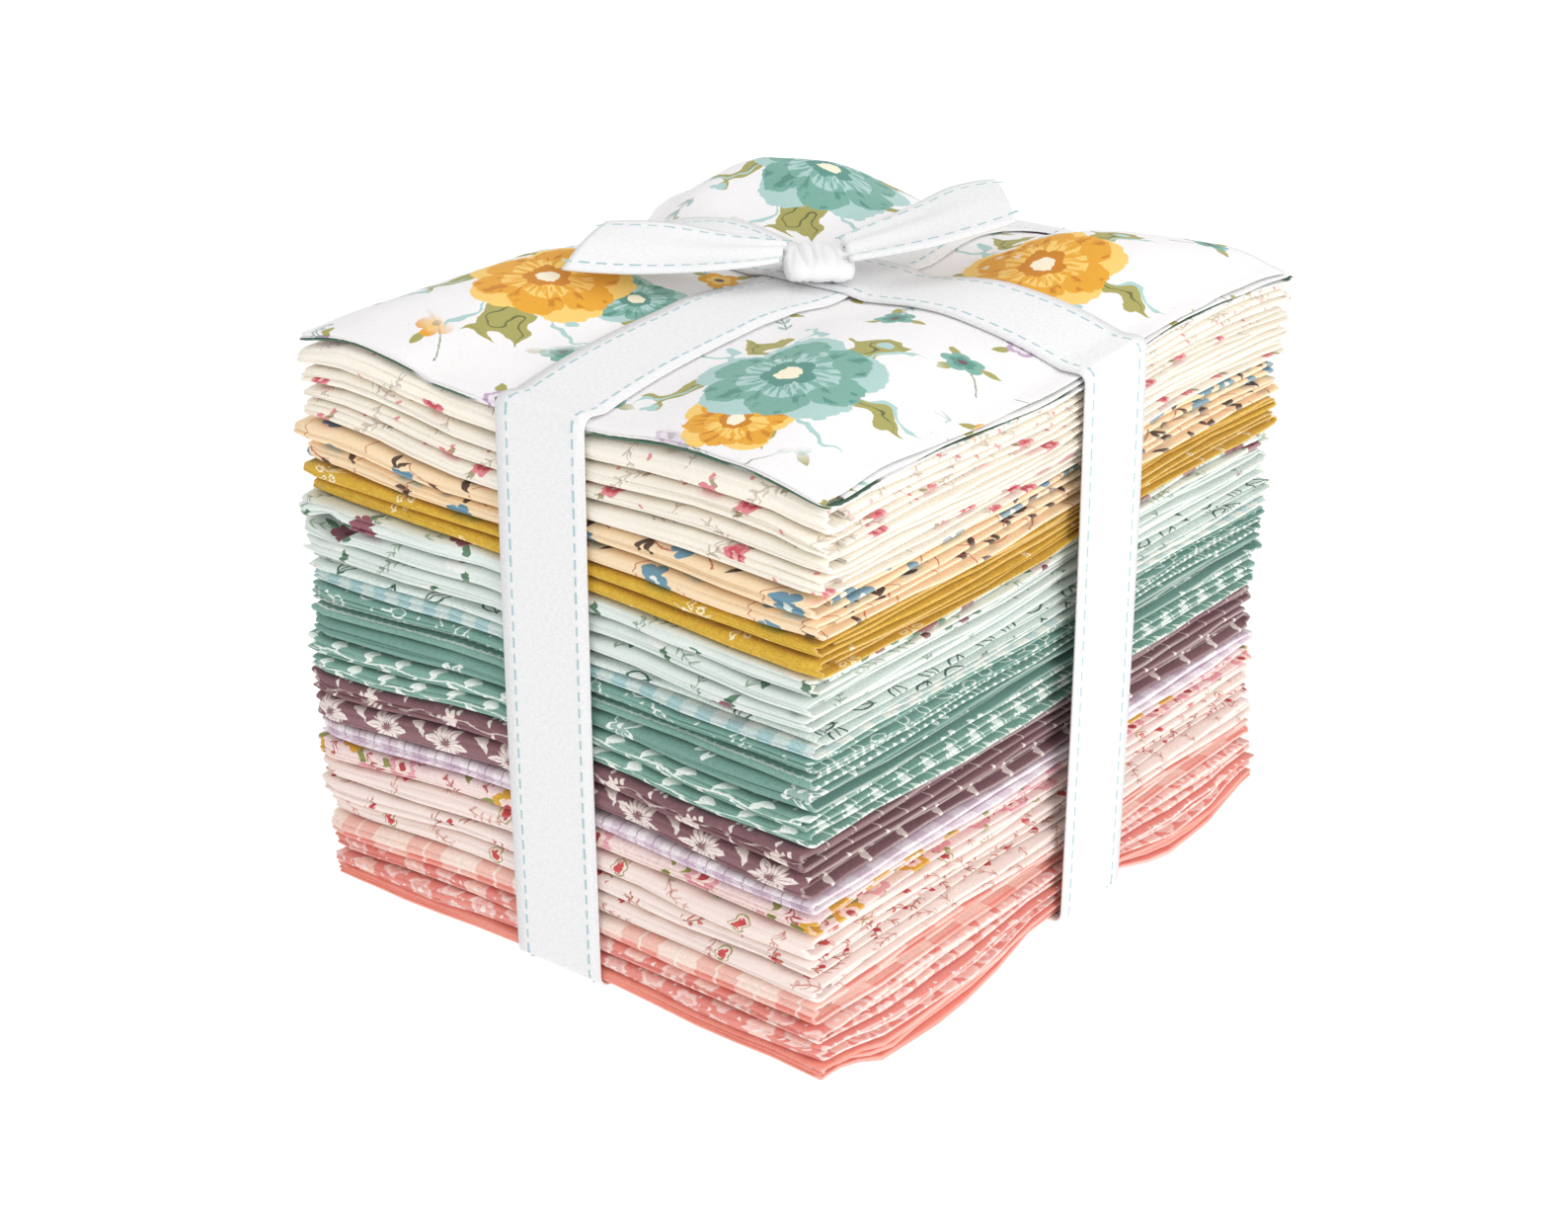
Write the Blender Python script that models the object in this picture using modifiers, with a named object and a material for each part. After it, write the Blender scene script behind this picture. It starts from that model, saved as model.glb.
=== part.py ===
"""A tied bundle of folded quilting cottons, called fat quarters.

Metres, +Z up. X runs across the front, Y from the front to the back. The origin is the middle of the
footprint, on the surface that the bundle rests on. Each fat quarter is an 18 x 22 in cut, folded in
thirds both ways, so a folded one is a third of each. Its last fold is a letter fold: a rounded ridge
at one end wraps all three layers, and the other end shows a small turn and a free edge.
"""
import math

import bmesh
import bpy
from mathutils import Matrix, Vector

WIDTH = 0.152
DEPTH = 0.186
PIECE_GAP = 0.00035
LAYER_GAP = 0.0003

RIBBON_WIDTH = 0.025
RIBBON_THICKNESS = 0.001
RIBBON_GAP = 0.00035
RIBBON_STEP = RIBBON_THICKNESS + RIBBON_GAP
RIBBON_Y = 0.008
RIBBON_WHITE = (0.93, 0.94, 0.93)
RIBBON_ROUGHNESS = 0.5
COTTON_ROUGHNESS = 0.85

# Folded cottons, from the bottom of the stack to its top. Thickness is at the corners. Left and
# forward are how far the piece lies towards -X and towards -Y, and skew turns its front edge.
FAT_QUARTERS = (
    # name, colour, thickness, left, forward, skew, ridge at the front
    ("salmon_plain", (0.85, 0.30, 0.24), 0.0042, 0.0004, 0.0002, 0.0004, True),
    ("coral_blossom_a", (0.90, 0.35, 0.30), 0.0043, 0.0000, 0.0008, -0.0004, True),
    ("coral_blossom_b", (0.92, 0.40, 0.34), 0.0041, 0.0010, 0.0000, 0.0006, True),
    ("coral_plaid", (0.95, 0.62, 0.50), 0.0062, 0.0018, 0.0012, 0.0000, True),
    ("pale_pink_a", (0.95, 0.75, 0.70), 0.0048, 0.0012, 0.0004, 0.0008, True),
    ("pale_pink_sprig", (0.96, 0.78, 0.73), 0.0042, 0.0034, 0.0014, -0.0004, True),
    ("pale_pink_b", (0.95, 0.73, 0.69), 0.0054, 0.0030, 0.0016, 0.0004, True),
    ("pink_floral", (0.93, 0.80, 0.78), 0.0052, 0.0030, 0.0012, -0.0006, True),
    ("lilac_gingham", (0.78, 0.66, 0.80), 0.0044, 0.0026, 0.0010, 0.0004, True),
    ("plum_leaf", (0.33, 0.10, 0.20), 0.0066, 0.0034, 0.0022, 0.0000, True),
    ("plum_vine", (0.36, 0.12, 0.22), 0.0052, 0.0040, 0.0024, 0.0006, True),
    ("teal_vine_a", (0.05, 0.30, 0.31), 0.0046, 0.0034, 0.0018, -0.0006, True),
    ("teal_vine_b", (0.05, 0.28, 0.30), 0.0044, 0.0040, 0.0022, 0.0004, True),
    ("teal_plain", (0.04, 0.26, 0.28), 0.0054, 0.0026, 0.0016, 0.0002, True),
    ("teal_dots", (0.05, 0.30, 0.32), 0.0036, 0.0030, 0.0010, -0.0004, False),
    ("teal_sprig", (0.06, 0.32, 0.34), 0.0036, 0.0026, 0.0012, 0.0004, True),
    ("mint_gingham", (0.62, 0.78, 0.76), 0.0032, 0.0024, 0.0006, 0.0006, True),
    ("mint_dark_motif", (0.60, 0.78, 0.75), 0.0034, 0.0022, 0.0004, -0.0006, False),
    ("mint_floral_a", (0.66, 0.83, 0.80), 0.0044, 0.0034, 0.0018, 0.0006, True),
    ("mint_floral_b", (0.68, 0.84, 0.81), 0.0046, 0.0028, 0.0020, 0.0000, True),
    ("mint_floral_c", (0.70, 0.85, 0.82), 0.0050, 0.0022, 0.0024, -0.0006, True),
    ("mustard_sprig_a", (0.82, 0.52, 0.12), 0.0040, 0.0004, 0.0004, 0.0006, True),
    ("mustard_sprig_b", (0.84, 0.55, 0.14), 0.0038, 0.0014, 0.0012, -0.0002, True),
    ("peach_blossom_a", (0.96, 0.72, 0.50), 0.0053, 0.0010, 0.0012, 0.0004, True),
    ("peach_blossom_b", (0.97, 0.75, 0.54), 0.0056, 0.0024, 0.0022, -0.0004, True),
    ("cream_sprig_a", (0.95, 0.90, 0.78), 0.0048, 0.0006, 0.0010, 0.0006, True),
    ("cream_sprig_b", (0.96, 0.91, 0.80), 0.0044, 0.0000, 0.0006, -0.0004, True),
    ("cream_sprig_c", (0.95, 0.90, 0.79), 0.0049, 0.0004, 0.0012, 0.0004, True),
    ("cream_sprig_d", (0.96, 0.91, 0.81), 0.0060, 0.0010, 0.0016, -0.0004, True),
    ("white_floral", (0.95, 0.95, 0.93), 0.0036, 0.0000, 0.0008, 0.0004, True),
)

# The ribbon is pulled tight, so each quarter of the top stands up as a pillow beside it.
PILLOWS = {
    # (left or right, front or back): height over the corners
    ("left", "front"): 0.0105,
    ("right", "front"): 0.0085,
    ("left", "back"): 0.0205,
    ("right", "back"): 0.0125,
}
PILLOW_WIDTH_SPAN = 0.0715
PILLOW_DEPTH_SPAN = 0.0885
PILLOW_POWER = 3.2
BLEND_WIDTH = 0.092
BLEND_DEPTH = 0.100

# Cloth is fully pressed under the ribbon and free again a little beyond it.
PRESS_FROM = 0.014
PRESS_TO = 0.044
PRESSED_SHARE = 0.55
FRONT_DIP = 0.003
SIDE_DIP = 0.004

# The lowest face is flat on the surface. Its edges curl up, and the ribbon lifts it.
CORNER_LIFT = 0.0055
EDGE_LIFT = 0.0060
RIBBON_LIFT = 0.0055

# Places where a layer may bend. Outside the outer ones it stays level across.
TOP_ACROSS = (-0.070, -0.046, -0.014, 0.014, 0.046, 0.070)
TOP_ALONG = (-0.087, -0.052, -0.005, 0.021, 0.058, 0.087)
BOTTOM_ACROSS = (-0.070, -0.046, -0.014, 0.014, 0.046, 0.070)
BOTTOM_ALONG = (-0.087, -0.068, -0.036, -0.005, 0.021, 0.052, 0.068, 0.087)
MIDDLE_ACROSS = (-0.017, 0.017)
MIDDLE_ALONG = (-0.087, 0.087)
TOP_PIECES = 6
BOTTOM_PIECES = 3
FREE_EDGE = 0.0885
BACK_SHARE = 0.6
LEAVES = 3
SMALL_TURN_STEPS = 3
LARGE_TURN_STEPS = 4
SHARPEST_MITRE = 0.7

# The bands leave a little room round the ends of the stack, and follow its lean to the left.
BAND_EASE = 0.0006
SIDE_ROUND = 0.002
END_ROUND_STEPS = 3
SIDE_ROUND_STEPS = 2
LEFT_LOW = 0.0012
LEFT_MIDDLE = 0.0040
LEFT_HIGH = 0.0014
LEFT_MIDDLE_SPAN = (0.80, 0.16)

KNOT_CENTRE = (0.0015, 0.0035)
KNOT_TURN = math.radians(41.0)
KNOT_SIZE = (0.0155, 0.0235, 0.0065)
KNOT_ROUND = 0.0026
KNOT_ROUND_STEPS = 3
ROOT_FRONT_Z = 0.1532
ROOT_BACK_Z = 0.1538
TAIL_BOW = 0.0008

# The ribbon's two free ends beyond the knot. Each row is a place along the end, with its edge
# nearer to the front and its edge nearer to the back.
TAILS = (
    # name, side of the knot, rows of front edge x, y, z and back edge x, y, z
    ("ribbon_tail_left", -1, (
        (-0.0065, -0.0225, 0.1530, -0.0185, -0.0035, 0.1555),
        (-0.0195, -0.0365, 0.1535, -0.0290, -0.0150, 0.1585),
        (-0.0350, -0.0485, 0.1537, -0.0415, -0.0260, 0.1595),
    )),
    ("ribbon_tail_right", 1, (
        (0.0240, 0.0120, 0.1560, 0.0060, 0.0290, 0.1595),
        (0.0305, 0.0215, 0.1590, 0.0105, 0.0370, 0.1628),
        (0.0355, 0.0295, 0.1605, 0.0175, 0.0470, 0.1645),
    )),
)

STACK = sum(row[2] for row in FAT_QUARTERS)
TOP_ZONE = sum(row[2] for row in FAT_QUARTERS[-TOP_PIECES:])
BOTTOM_ZONE = sum(row[2] for row in FAT_QUARTERS[:BOTTOM_PIECES])


def ease(start, end, value):
    """0 before start, 1 after end, and a smooth step between them."""
    t = min(1.0, max(0.0, (value - start) / (end - start)))
    return t * t * (3.0 - 2.0 * t)


def pressed(distance):
    """How fully the ribbon presses the cloth at a distance from the ribbon's middle."""
    return 1.0 - ease(PRESS_FROM, PRESS_TO, abs(distance))


def fall(value, span):
    """1 in the middle of a pillow, falling to 0 at its edge."""
    return max(0.0, 1.0 - abs(value / span) ** PILLOW_POWER)


def pillow_height(x, y):
    """The four pillow heights, blended across the ribbon."""
    right = min(1.0, max(0.0, 0.5 + x / BLEND_WIDTH))
    back = min(1.0, max(0.0, 0.5 + (y - RIBBON_Y) / BLEND_DEPTH))
    front_row = PILLOWS["left", "front"] * (1.0 - right) + PILLOWS["right", "front"] * right
    back_row = PILLOWS["left", "back"] * (1.0 - right) + PILLOWS["right", "back"] * right
    return front_row * (1.0 - back) + back_row * back


def crown(x, y):
    """Height of the top of the stack over its corners."""
    across = fall(x, PILLOW_WIDTH_SPAN)
    along = fall(y, PILLOW_DEPTH_SPAN)
    long_band = pressed(x)
    short_band = pressed(y - RIBBON_Y)
    held_down = (1.0 - PRESSED_SHARE * long_band) * (1.0 - PRESSED_SHARE * short_band)
    dip = FRONT_DIP * long_band * (1.0 - along) + SIDE_DIP * short_band * (1.0 - across)
    return pillow_height(x, y) * across * along * held_down - dip


def underside(x, y):
    """Height of the stack's lowest face over the floor."""
    edge = EDGE_LIFT * ease(-BOTTOM_ALONG[1], -BOTTOM_ALONG[0], abs(y))
    channels = RIBBON_STEP * (pressed(x) + pressed(y - RIBBON_Y))
    pulled_up = pressed(y - RIBBON_Y) * ease(-BOTTOM_ACROSS[1], -BOTTOM_ACROSS[0], abs(x))
    return edge + channels + RIBBON_LIFT * pulled_up


def level(height, x, y):
    """Height over the floor of the layer that is so high at the stack's corners."""
    x = min(TOP_ACROSS[-1], max(TOP_ACROSS[0], x))
    y = min(TOP_ALONG[-1], max(TOP_ALONG[0], y))
    low = max(0.0, 1.0 - height / BOTTOM_ZONE)
    high = max(0.0, (height - STACK + TOP_ZONE) / TOP_ZONE)
    return CORNER_LIFT + height + (underside(x, y) - CORNER_LIFT) * low + crown(x, y) * high


def turn(centre_y, centre_v, radius, start, end, steps):
    """Points of a round fold, from one angle to another, without its two ends."""
    angles = [math.radians(start + (end - start) * i / steps) for i in range(1, steps)]
    return [(centre_y + radius * math.cos(a), centre_v + radius * math.sin(a)) for a in angles]


def fold_line(thickness, leaf, front, back, along):
    """The folded cloth's middle line in (y, height in the piece), from its hidden end to its free edge."""
    low = leaf / 2.0
    middle = thickness / 2.0
    high = thickness - leaf / 2.0
    small = (middle - low) / 2.0
    large = (high - low) / 2.0
    back_centre = back - small - low
    front_centre = front + large + low
    line = [(y, middle) for y in along]
    line += [(back_centre, middle)]
    line += turn(back_centre, middle - small, small, 90.0, -90.0, SMALL_TURN_STEPS)
    line += [(back_centre, low)]
    line += [(y, low) for y in reversed(along)]
    line += [(front_centre, low)]
    line += turn(front_centre, low + large, large, 270.0, 90.0, LARGE_TURN_STEPS)
    line += [(front_centre, high)]
    line += [(y, high) for y in along]
    line += [(FREE_EDGE, high)]
    return line


def outline(line, half):
    """The closed outline of a cloth of this half thickness along a line."""
    inner = []
    outer = []
    last = len(line) - 1
    for i, (y, v) in enumerate(line):
        before = line[max(0, i - 1)]
        after = line[min(last, i + 1)]
        first = Vector((y - before[0], v - before[1]))
        second = Vector((after[0] - y, after[1] - v))
        first = first.normalized() if first.length else second.normalized()
        second = second.normalized() if second.length else first
        normal = Vector((-(first.y + second.y), first.x + second.x)).normalized()
        reach = half / max(SHARPEST_MITRE, normal.dot(Vector((-first.y, first.x))))
        inner.append((y - normal.x * reach, v - normal.y * reach))
        outer.append((y + normal.x * reach, v + normal.y * reach))
    return inner + outer[::-1]


def add_object(name, mesh, colour, roughness):
    """Put a mesh in the bundle's collection with its own material."""
    material = bpy.data.materials.new(name)
    material.use_nodes = True
    shader = material.node_tree.nodes["Principled BSDF"]
    shader.inputs["Base Color"].default_value = (*colour, 1.0)
    shader.inputs["Roughness"].default_value = roughness
    shader.inputs["Metallic"].default_value = 0.0
    mesh.materials.append(material)
    piece = bpy.data.objects.new(name, mesh)
    BUNDLE.objects.link(piece)
    return piece


def loft(name, sections):
    """A closed mesh through rings of as many points each, capped at both ends."""
    shape = bmesh.new()
    rings = [[shape.verts.new(point) for point in section] for section in sections]
    count = len(rings[0])
    for ring, following in zip(rings, rings[1:]):
        for i in range(count):
            j = (i + 1) % count
            corners = [ring[i], ring[j], following[j], following[i]]
            lowest = min(range(4), key=lambda k: corners[k].co.x + corners[k].co.y)
            a, b, c, d = corners[lowest:] + corners[:lowest]
            shape.faces.new((a, b, c))
            shape.faces.new((a, c, d))
    half = count // 2
    for ring in (rings[0], rings[-1]):
        for i in range(half - 1):
            shape.faces.new((ring[i], ring[i + 1], ring[count - 2 - i], ring[count - 1 - i]))
    bmesh.ops.recalc_face_normals(shape, faces=shape.faces)
    mesh = bpy.data.meshes.new(name)
    shape.to_mesh(mesh)
    shape.free()
    return mesh


def add_fat_quarter(index, base):
    """One folded cotton, lofted across the bundle from its left side to its right."""
    name, colour, thickness, left, forward, skew, ridge_in_front = FAT_QUARTERS[index]
    if index < BOTTOM_PIECES:
        across, along = BOTTOM_ACROSS, BOTTOM_ALONG
    elif index >= len(FAT_QUARTERS) - TOP_PIECES:
        across, along = TOP_ACROSS, TOP_ALONG
    else:
        across, along = MIDDLE_ACROSS, MIDDLE_ALONG
    leaf = (thickness - (LEAVES - 1) * LAYER_GAP) / LEAVES
    facing = 1.0 if ridge_in_front else -1.0
    sections = []
    for x in (-WIDTH / 2 - left, *across, WIDTH / 2 - left):
        loose = 1.0 - pressed(x)
        front = -DEPTH / 2 - (forward + skew * x / (WIDTH / 2)) * loose
        back = DEPTH / 2 - forward * BACK_SHARE
        if not ridge_in_front:
            front, back = -back, -front
        section = []
        for y, v in outline(fold_line(thickness, leaf, front, back, along), leaf / 2.0):
            y *= facing
            low = level(base, x, y) + PIECE_GAP / 2.0
            high = level(base + thickness, x, y) - PIECE_GAP / 2.0
            section.append((x, y, low + (high - low) * v / thickness))
        sections.append(section)
    add_object(f"fat_quarter_{index + 1:02d}_{name}", loft(name, sections), colour, COTTON_ROUGHNESS)


def thicken(piece, offset):
    """Give a sheet of ribbon its thickness, outward for an offset of 1."""
    solidify = piece.modifiers.new("Thickness", "SOLIDIFY")
    solidify.thickness = RIBBON_THICKNESS
    solidify.offset = offset
    solidify.use_even_offset = True


def add_band(name, path, place):
    """A closed ribbon band, laid outside a path that runs round the stack."""
    strip = bmesh.new()
    edges = (-RIBBON_WIDTH / 2, RIBBON_WIDTH / 2)
    rows = [[strip.verts.new(place(edge, along, height)) for edge in edges] for along, height in path]
    for row, following in zip(rows, rows[1:] + rows[:1]):
        strip.faces.new((row[0], row[1], following[1], following[0]))
    mesh = bpy.data.meshes.new(name)
    strip.to_mesh(mesh)
    strip.free()
    band = add_object(name, mesh, RIBBON_WHITE, RIBBON_ROUGHNESS)
    thicken(band, 1.0)


def arc(centre, radius, start, end, steps):
    """Points on a round corner of a band, both ends included."""
    angles = [math.radians(start + (end - start) * i / steps) for i in range(steps + 1)]
    return [(centre[0] + radius * math.cos(a), centre[1] + radius * math.sin(a)) for a in angles]


def long_band_path():
    """The inside of the band from front to back, as (y, z), anticlockwise from under the stack."""
    over_round = FAT_QUARTERS[-1][2] / 2 + BAND_EASE
    under_round = FAT_QUARTERS[0][2] / 2 + BAND_EASE
    over_z = level(STACK, 0.0, TOP_ALONG[0]) - FAT_QUARTERS[-1][2] / 2
    under_z = level(0.0, 0.0, BOTTOM_ALONG[0]) + FAT_QUARTERS[0][2] / 2
    edge = DEPTH / 2 + BAND_EASE
    path = [(y, RIBBON_THICKNESS) for y in BOTTOM_ALONG[1:-1]]
    path += arc((edge - under_round, under_z), under_round, -90, 0, END_ROUND_STEPS)
    path += arc((edge - over_round, over_z), over_round, 0, 90, END_ROUND_STEPS)
    path += [(y, level(STACK, 0.0, y) + RIBBON_GAP) for y in reversed(TOP_ALONG)]
    path += arc((over_round - edge, over_z), over_round, 90, 180, END_ROUND_STEPS)
    path += arc((under_round - edge, under_z), under_round, 180, 270, END_ROUND_STEPS)
    return path


def short_band_path():
    """The inside of the band round the sides, as (x, z), over the long band where they cross."""
    under = [(x, level(0.0, x, RIBBON_Y) - RIBBON_GAP) for x in BOTTOM_ACROSS]
    over = []
    for x in TOP_ACROSS:
        raised = RIBBON_STEP if abs(x) <= PRESS_FROM else 0.0
        over.append((x, level(STACK, x, RIBBON_Y) + RIBBON_GAP + raised))
    low = under[0][1] + SIDE_ROUND
    high = over[0][1] - SIDE_ROUND
    right = WIDTH / 2 + BAND_EASE
    left_low = -WIDTH / 2 - LEFT_LOW - BAND_EASE
    left_middle = -WIDTH / 2 - LEFT_MIDDLE - BAND_EASE
    left_high = -WIDTH / 2 - LEFT_HIGH - BAND_EASE
    path = under
    path += arc((right - SIDE_ROUND, low), SIDE_ROUND, -90, 0, SIDE_ROUND_STEPS)
    path += arc((right - SIDE_ROUND, high), SIDE_ROUND, 0, 90, SIDE_ROUND_STEPS)
    path += over[::-1]
    path += arc((left_high + SIDE_ROUND, high), SIDE_ROUND, 90, 180, SIDE_ROUND_STEPS)
    path += [(left_middle, CORNER_LIFT + STACK * share) for share in LEFT_MIDDLE_SPAN]
    path += arc((left_low + SIDE_ROUND, low), SIDE_ROUND, 180, 270, SIDE_ROUND_STEPS)
    return path


def knot_frame():
    """The knot's place on the crossing, turned the way its wrap lies."""
    base = level(STACK, *KNOT_CENTRE) + 2.0 * RIBBON_STEP + RIBBON_GAP
    place = Matrix.Translation((*KNOT_CENTRE, base + KNOT_SIZE[2] / 2))
    return place @ Matrix.Rotation(KNOT_TURN, 4, "Z")


def add_knot():
    """The wrapped middle of the tie, a soft oblong lying on the crossing."""
    shape = bmesh.new()
    bmesh.ops.create_cube(shape, size=1.0)
    place = knot_frame() @ Matrix.Diagonal((*KNOT_SIZE, 1.0))
    bmesh.ops.transform(shape, matrix=place, verts=shape.verts)
    mesh = bpy.data.meshes.new("ribbon_knot")
    shape.to_mesh(mesh)
    shape.free()
    knot = add_object("ribbon_knot", mesh, RIBBON_WHITE, RIBBON_ROUGHNESS)
    bevel = knot.modifiers.new("Soft edges", "BEVEL")
    bevel.width = KNOT_ROUND
    bevel.segments = KNOT_ROUND_STEPS


def tail_root(side):
    """The front and back corners where a free end leaves the knot's side."""
    out = side * (KNOT_SIZE[0] / 2 + RIBBON_GAP)
    corners = []
    for half, height in ((-KNOT_SIZE[1] / 2, ROOT_FRONT_Z), (KNOT_SIZE[1] / 2, ROOT_BACK_Z)):
        corner = knot_frame() @ Vector((out, half, 0.0))
        corners += [corner.x, corner.y, height]
    return corners


def add_tail(name, side, rows):
    """A free end of the ribbon: a sheet between its two edges, bowed up a little in its middle."""
    strip = bmesh.new()
    grid = []
    for row in (tail_root(side), *rows):
        front = Vector(row[:3])
        back = Vector(row[3:])
        middle = (front + back) / 2 + Vector((0.0, 0.0, TAIL_BOW))
        grid.append([strip.verts.new(point) for point in (front, middle, back)])
    for line, following in zip(grid, grid[1:]):
        for i in range(2):
            strip.faces.new((line[i], line[i + 1], following[i + 1], following[i]))
    mesh = bpy.data.meshes.new(name)
    strip.to_mesh(mesh)
    strip.free()
    tail = add_object(name, mesh, RIBBON_WHITE, RIBBON_ROUGHNESS)
    smooth = tail.modifiers.new("Smooth run", "SUBSURF")
    smooth.levels = 1
    smooth.render_levels = 1
    smooth.boundary_smooth = "PRESERVE_CORNERS"
    thicken(tail, 0.0)


for old in list(bpy.data.objects):
    bpy.data.objects.remove(old, do_unlink=True)

BUNDLE = bpy.data.collections.new("fat_quarter_bundle")
bpy.context.scene.collection.children.link(BUNDLE)

base_height = 0.0
for number, row in enumerate(FAT_QUARTERS):
    add_fat_quarter(number, base_height)
    base_height += row[2]

add_band("ribbon_long_band", long_band_path(), lambda edge, y, z: (-edge, y, z))
add_band("ribbon_short_band", short_band_path(), lambda edge, x, z: (x, RIBBON_Y + edge, z))
add_knot()
for tail_name, knot_side, tail_rows in TAILS:
    add_tail(tail_name, knot_side, tail_rows)
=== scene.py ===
"""A tied bundle of folded quilting cottons: fat quarters in their colours, with a white ribbon round them.

Metres, +Z up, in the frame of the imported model. X runs across the front, Y from the front to the back.
"""
import math

import bmesh
import bpy
import numpy as np
from mathutils import Matrix, Vector


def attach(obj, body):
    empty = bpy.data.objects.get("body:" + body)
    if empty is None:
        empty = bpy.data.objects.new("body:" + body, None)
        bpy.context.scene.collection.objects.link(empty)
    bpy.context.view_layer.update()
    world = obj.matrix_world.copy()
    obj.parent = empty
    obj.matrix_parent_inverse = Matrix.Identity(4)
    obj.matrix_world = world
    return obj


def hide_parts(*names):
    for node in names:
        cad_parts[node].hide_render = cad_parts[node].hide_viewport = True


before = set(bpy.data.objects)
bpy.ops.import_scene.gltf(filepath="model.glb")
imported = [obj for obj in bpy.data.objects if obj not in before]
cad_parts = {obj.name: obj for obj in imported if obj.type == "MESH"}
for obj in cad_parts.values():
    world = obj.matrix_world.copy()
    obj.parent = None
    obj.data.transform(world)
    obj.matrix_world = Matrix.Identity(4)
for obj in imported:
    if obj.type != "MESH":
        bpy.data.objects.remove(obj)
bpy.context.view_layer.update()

# Folding the cottons
# A fat quarter is a cut of plain-woven cotton, 18 x 22 in. It is folded in thirds across its width and
# then like a letter along its length. Its own creases and the ribbon are all that hold it.
WIDTH = 0.152
DEPTH = 0.186
STACK = 0.1392
TOP_ZONE = 0.0293
BOTTOM_ZONE = 0.0126
PIECE_GAP = 0.00045
LAYER_GAP = 0.0004
CLOTH = 0.00032
CLOTH_SHARE = 0.66
SMALL_STEPS = 5
LARGE_STEPS = 32
RIDGE_SQUARENESS = 3.4
RIBBON_Y = 0.008
PILLOWS = ((0.0105, 0.0085), (0.0236, 0.0125))
PILLOW_SPAN = (0.0715, 0.0885)
PILLOW_POWER = 3.2
BLEND = (0.092, 0.100)
PRESS_FROM = 0.014
PRESS_TO = 0.044
PRESSED_SHARE = 0.55
FRONT_DIP = 0.003
SIDE_DIP = 0.004
CORNER_LIFT = 0.0055
EDGE_LIFT = 0.0060
EDGE_LIFT_FROM = 0.068
RIBBON_LIFT = 0.0055
RIBBON_LIFT_FROM = 0.046
RIBBON_STEP = 0.00135
REACH = (0.070, 0.087)

# How far the layers of the front rise or sag, in mm, at four places across it.
SAG_ACROSS = (-0.074, -0.022, 0.006, 0.070)
SAG = (
    # height in the stack, rises in mm
    (0.000, (0.0, 0.0, 0.0, 0.0)),
    (0.012, (-1.0, 1.5, 0.5, 0.8)),
    (0.036, (-1.0, 2.5, 1.8, 1.5)),
    (0.056, (0.2, 3.4, 1.5, 0.8)),
    (0.076, (0.8, 2.2, 0.0, 0.4)),
    (0.097, (2.6, 2.0, -1.0, -1.6)),
    (0.116, (3.0, -2.2, -3.2, -1.8)),
    (0.1392, (2.8, -2.0, -2.4, 0.0)),
)
SAG_LOST = 0.75
SAG_LOST_BETWEEN = (-0.060, 0.020)
SIDE_TILT = 0.0028
SIDE_TILT_REACH = 0.045
SIDE_TILT_FROM = (0.020, 0.066)
SIDE_DROOP = 0.0034
SIDE_DROOP_FROM = (0.052, 0.079)
FRONT_DROOP = 0.0012
FRONT_DROOP_FROM = (0.070, 0.096)
PUFF = 0.0008
PUFF_FROM = (0.078, 0.050)
RIPPLES = (0.00030, 0.00035)
LEAF_INSET = 0.004
PLY_INSET = 0.0025
RIDGE_WANDER = 0.0007
REAR_WANDER = 0.0006
FREE_WANDER = 0.0010
SIDE_WANDER = 0.0008
CORNER_ROUND = 0.0036
FREE_EDGE = 0.003
TUCK = 0.0007
GROOVE_HEIGHTS = (0.36, 0.68)
GROOVE_WIDTH = 0.055
GROOVE_DEPTH = 0.0010
RIDGE_GAP = 0.00050
RIDGE_GAP_DEPTH = 0.020
SIDE_GAP = 0.00030
SIDE_GAP_FROM = (0.064, 0.0755)
OPEN_FROM = (-0.0755, -0.0640)
OPEN_TO = (-0.0630, -0.0600)
OPEN_BACK = (0.015, 0.055)
PRINT_SHIFT = 0.0371

# The back left quarter stands fuller than the rest, right behind the ribbon and out to its own edge.
SHOULDER_RISE = 0.0075
SHOULDER_FROM_RIBBON = (0.0160, 0.0313)
SHOULDER_TO_BACK = (0.040, 0.072)
SHOULDER_ACROSS = (-0.066, -0.040)

# Soft troughs that the tie draws into the upper cottons, from one end to the other.
CREASES = (
    # from x, y, to x, y, width, depth
    (-0.017, -0.018, -0.052, -0.058, 0.0045, 0.0010),
    (-0.018, 0.026, -0.068, 0.044, 0.0050, 0.0011),
    (-0.016, 0.040, -0.040, 0.082, 0.0055, 0.0009),
    (0.018, -0.012, 0.064, -0.034, 0.0050, 0.0012),
    (0.017, -0.030, 0.048, -0.084, 0.0045, 0.0010),
    (0.016, 0.030, 0.046, 0.080, 0.0050, 0.0010),
    (0.020, 0.024, 0.072, 0.050, 0.0045, 0.0008),
    (-0.034, -0.092, -0.020, -0.046, 0.0040, 0.0010),
)
CREASE_FADE = 0.6


def ease(start, end, value):
    """0 before start, 1 after end, and a smooth step between them."""
    t = np.clip((value - start) / (end - start), 0.0, 1.0)
    return t * t * (3.0 - 2.0 * t)


def pressed(distance):
    """How fully the ribbon presses the cloth at a distance from the ribbon's middle."""
    return 1.0 - ease(PRESS_FROM, PRESS_TO, np.abs(distance))


def fall(value, span):
    """1 in the middle of a pillow, falling to 0 at its edge."""
    return np.maximum(0.0, 1.0 - np.abs(value / span) ** PILLOW_POWER)


def drift(place, phase):
    """A slow uneven wave between about -1 and 1."""
    wave = 0.55 * np.sin(place / 0.0135 + 7.31 * phase)
    wave = wave + 0.30 * np.sin(place / 0.0071 + 3.77 * phase)
    return wave + 0.15 * np.sin(place / 0.0034 + 5.93 * phase)


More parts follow.
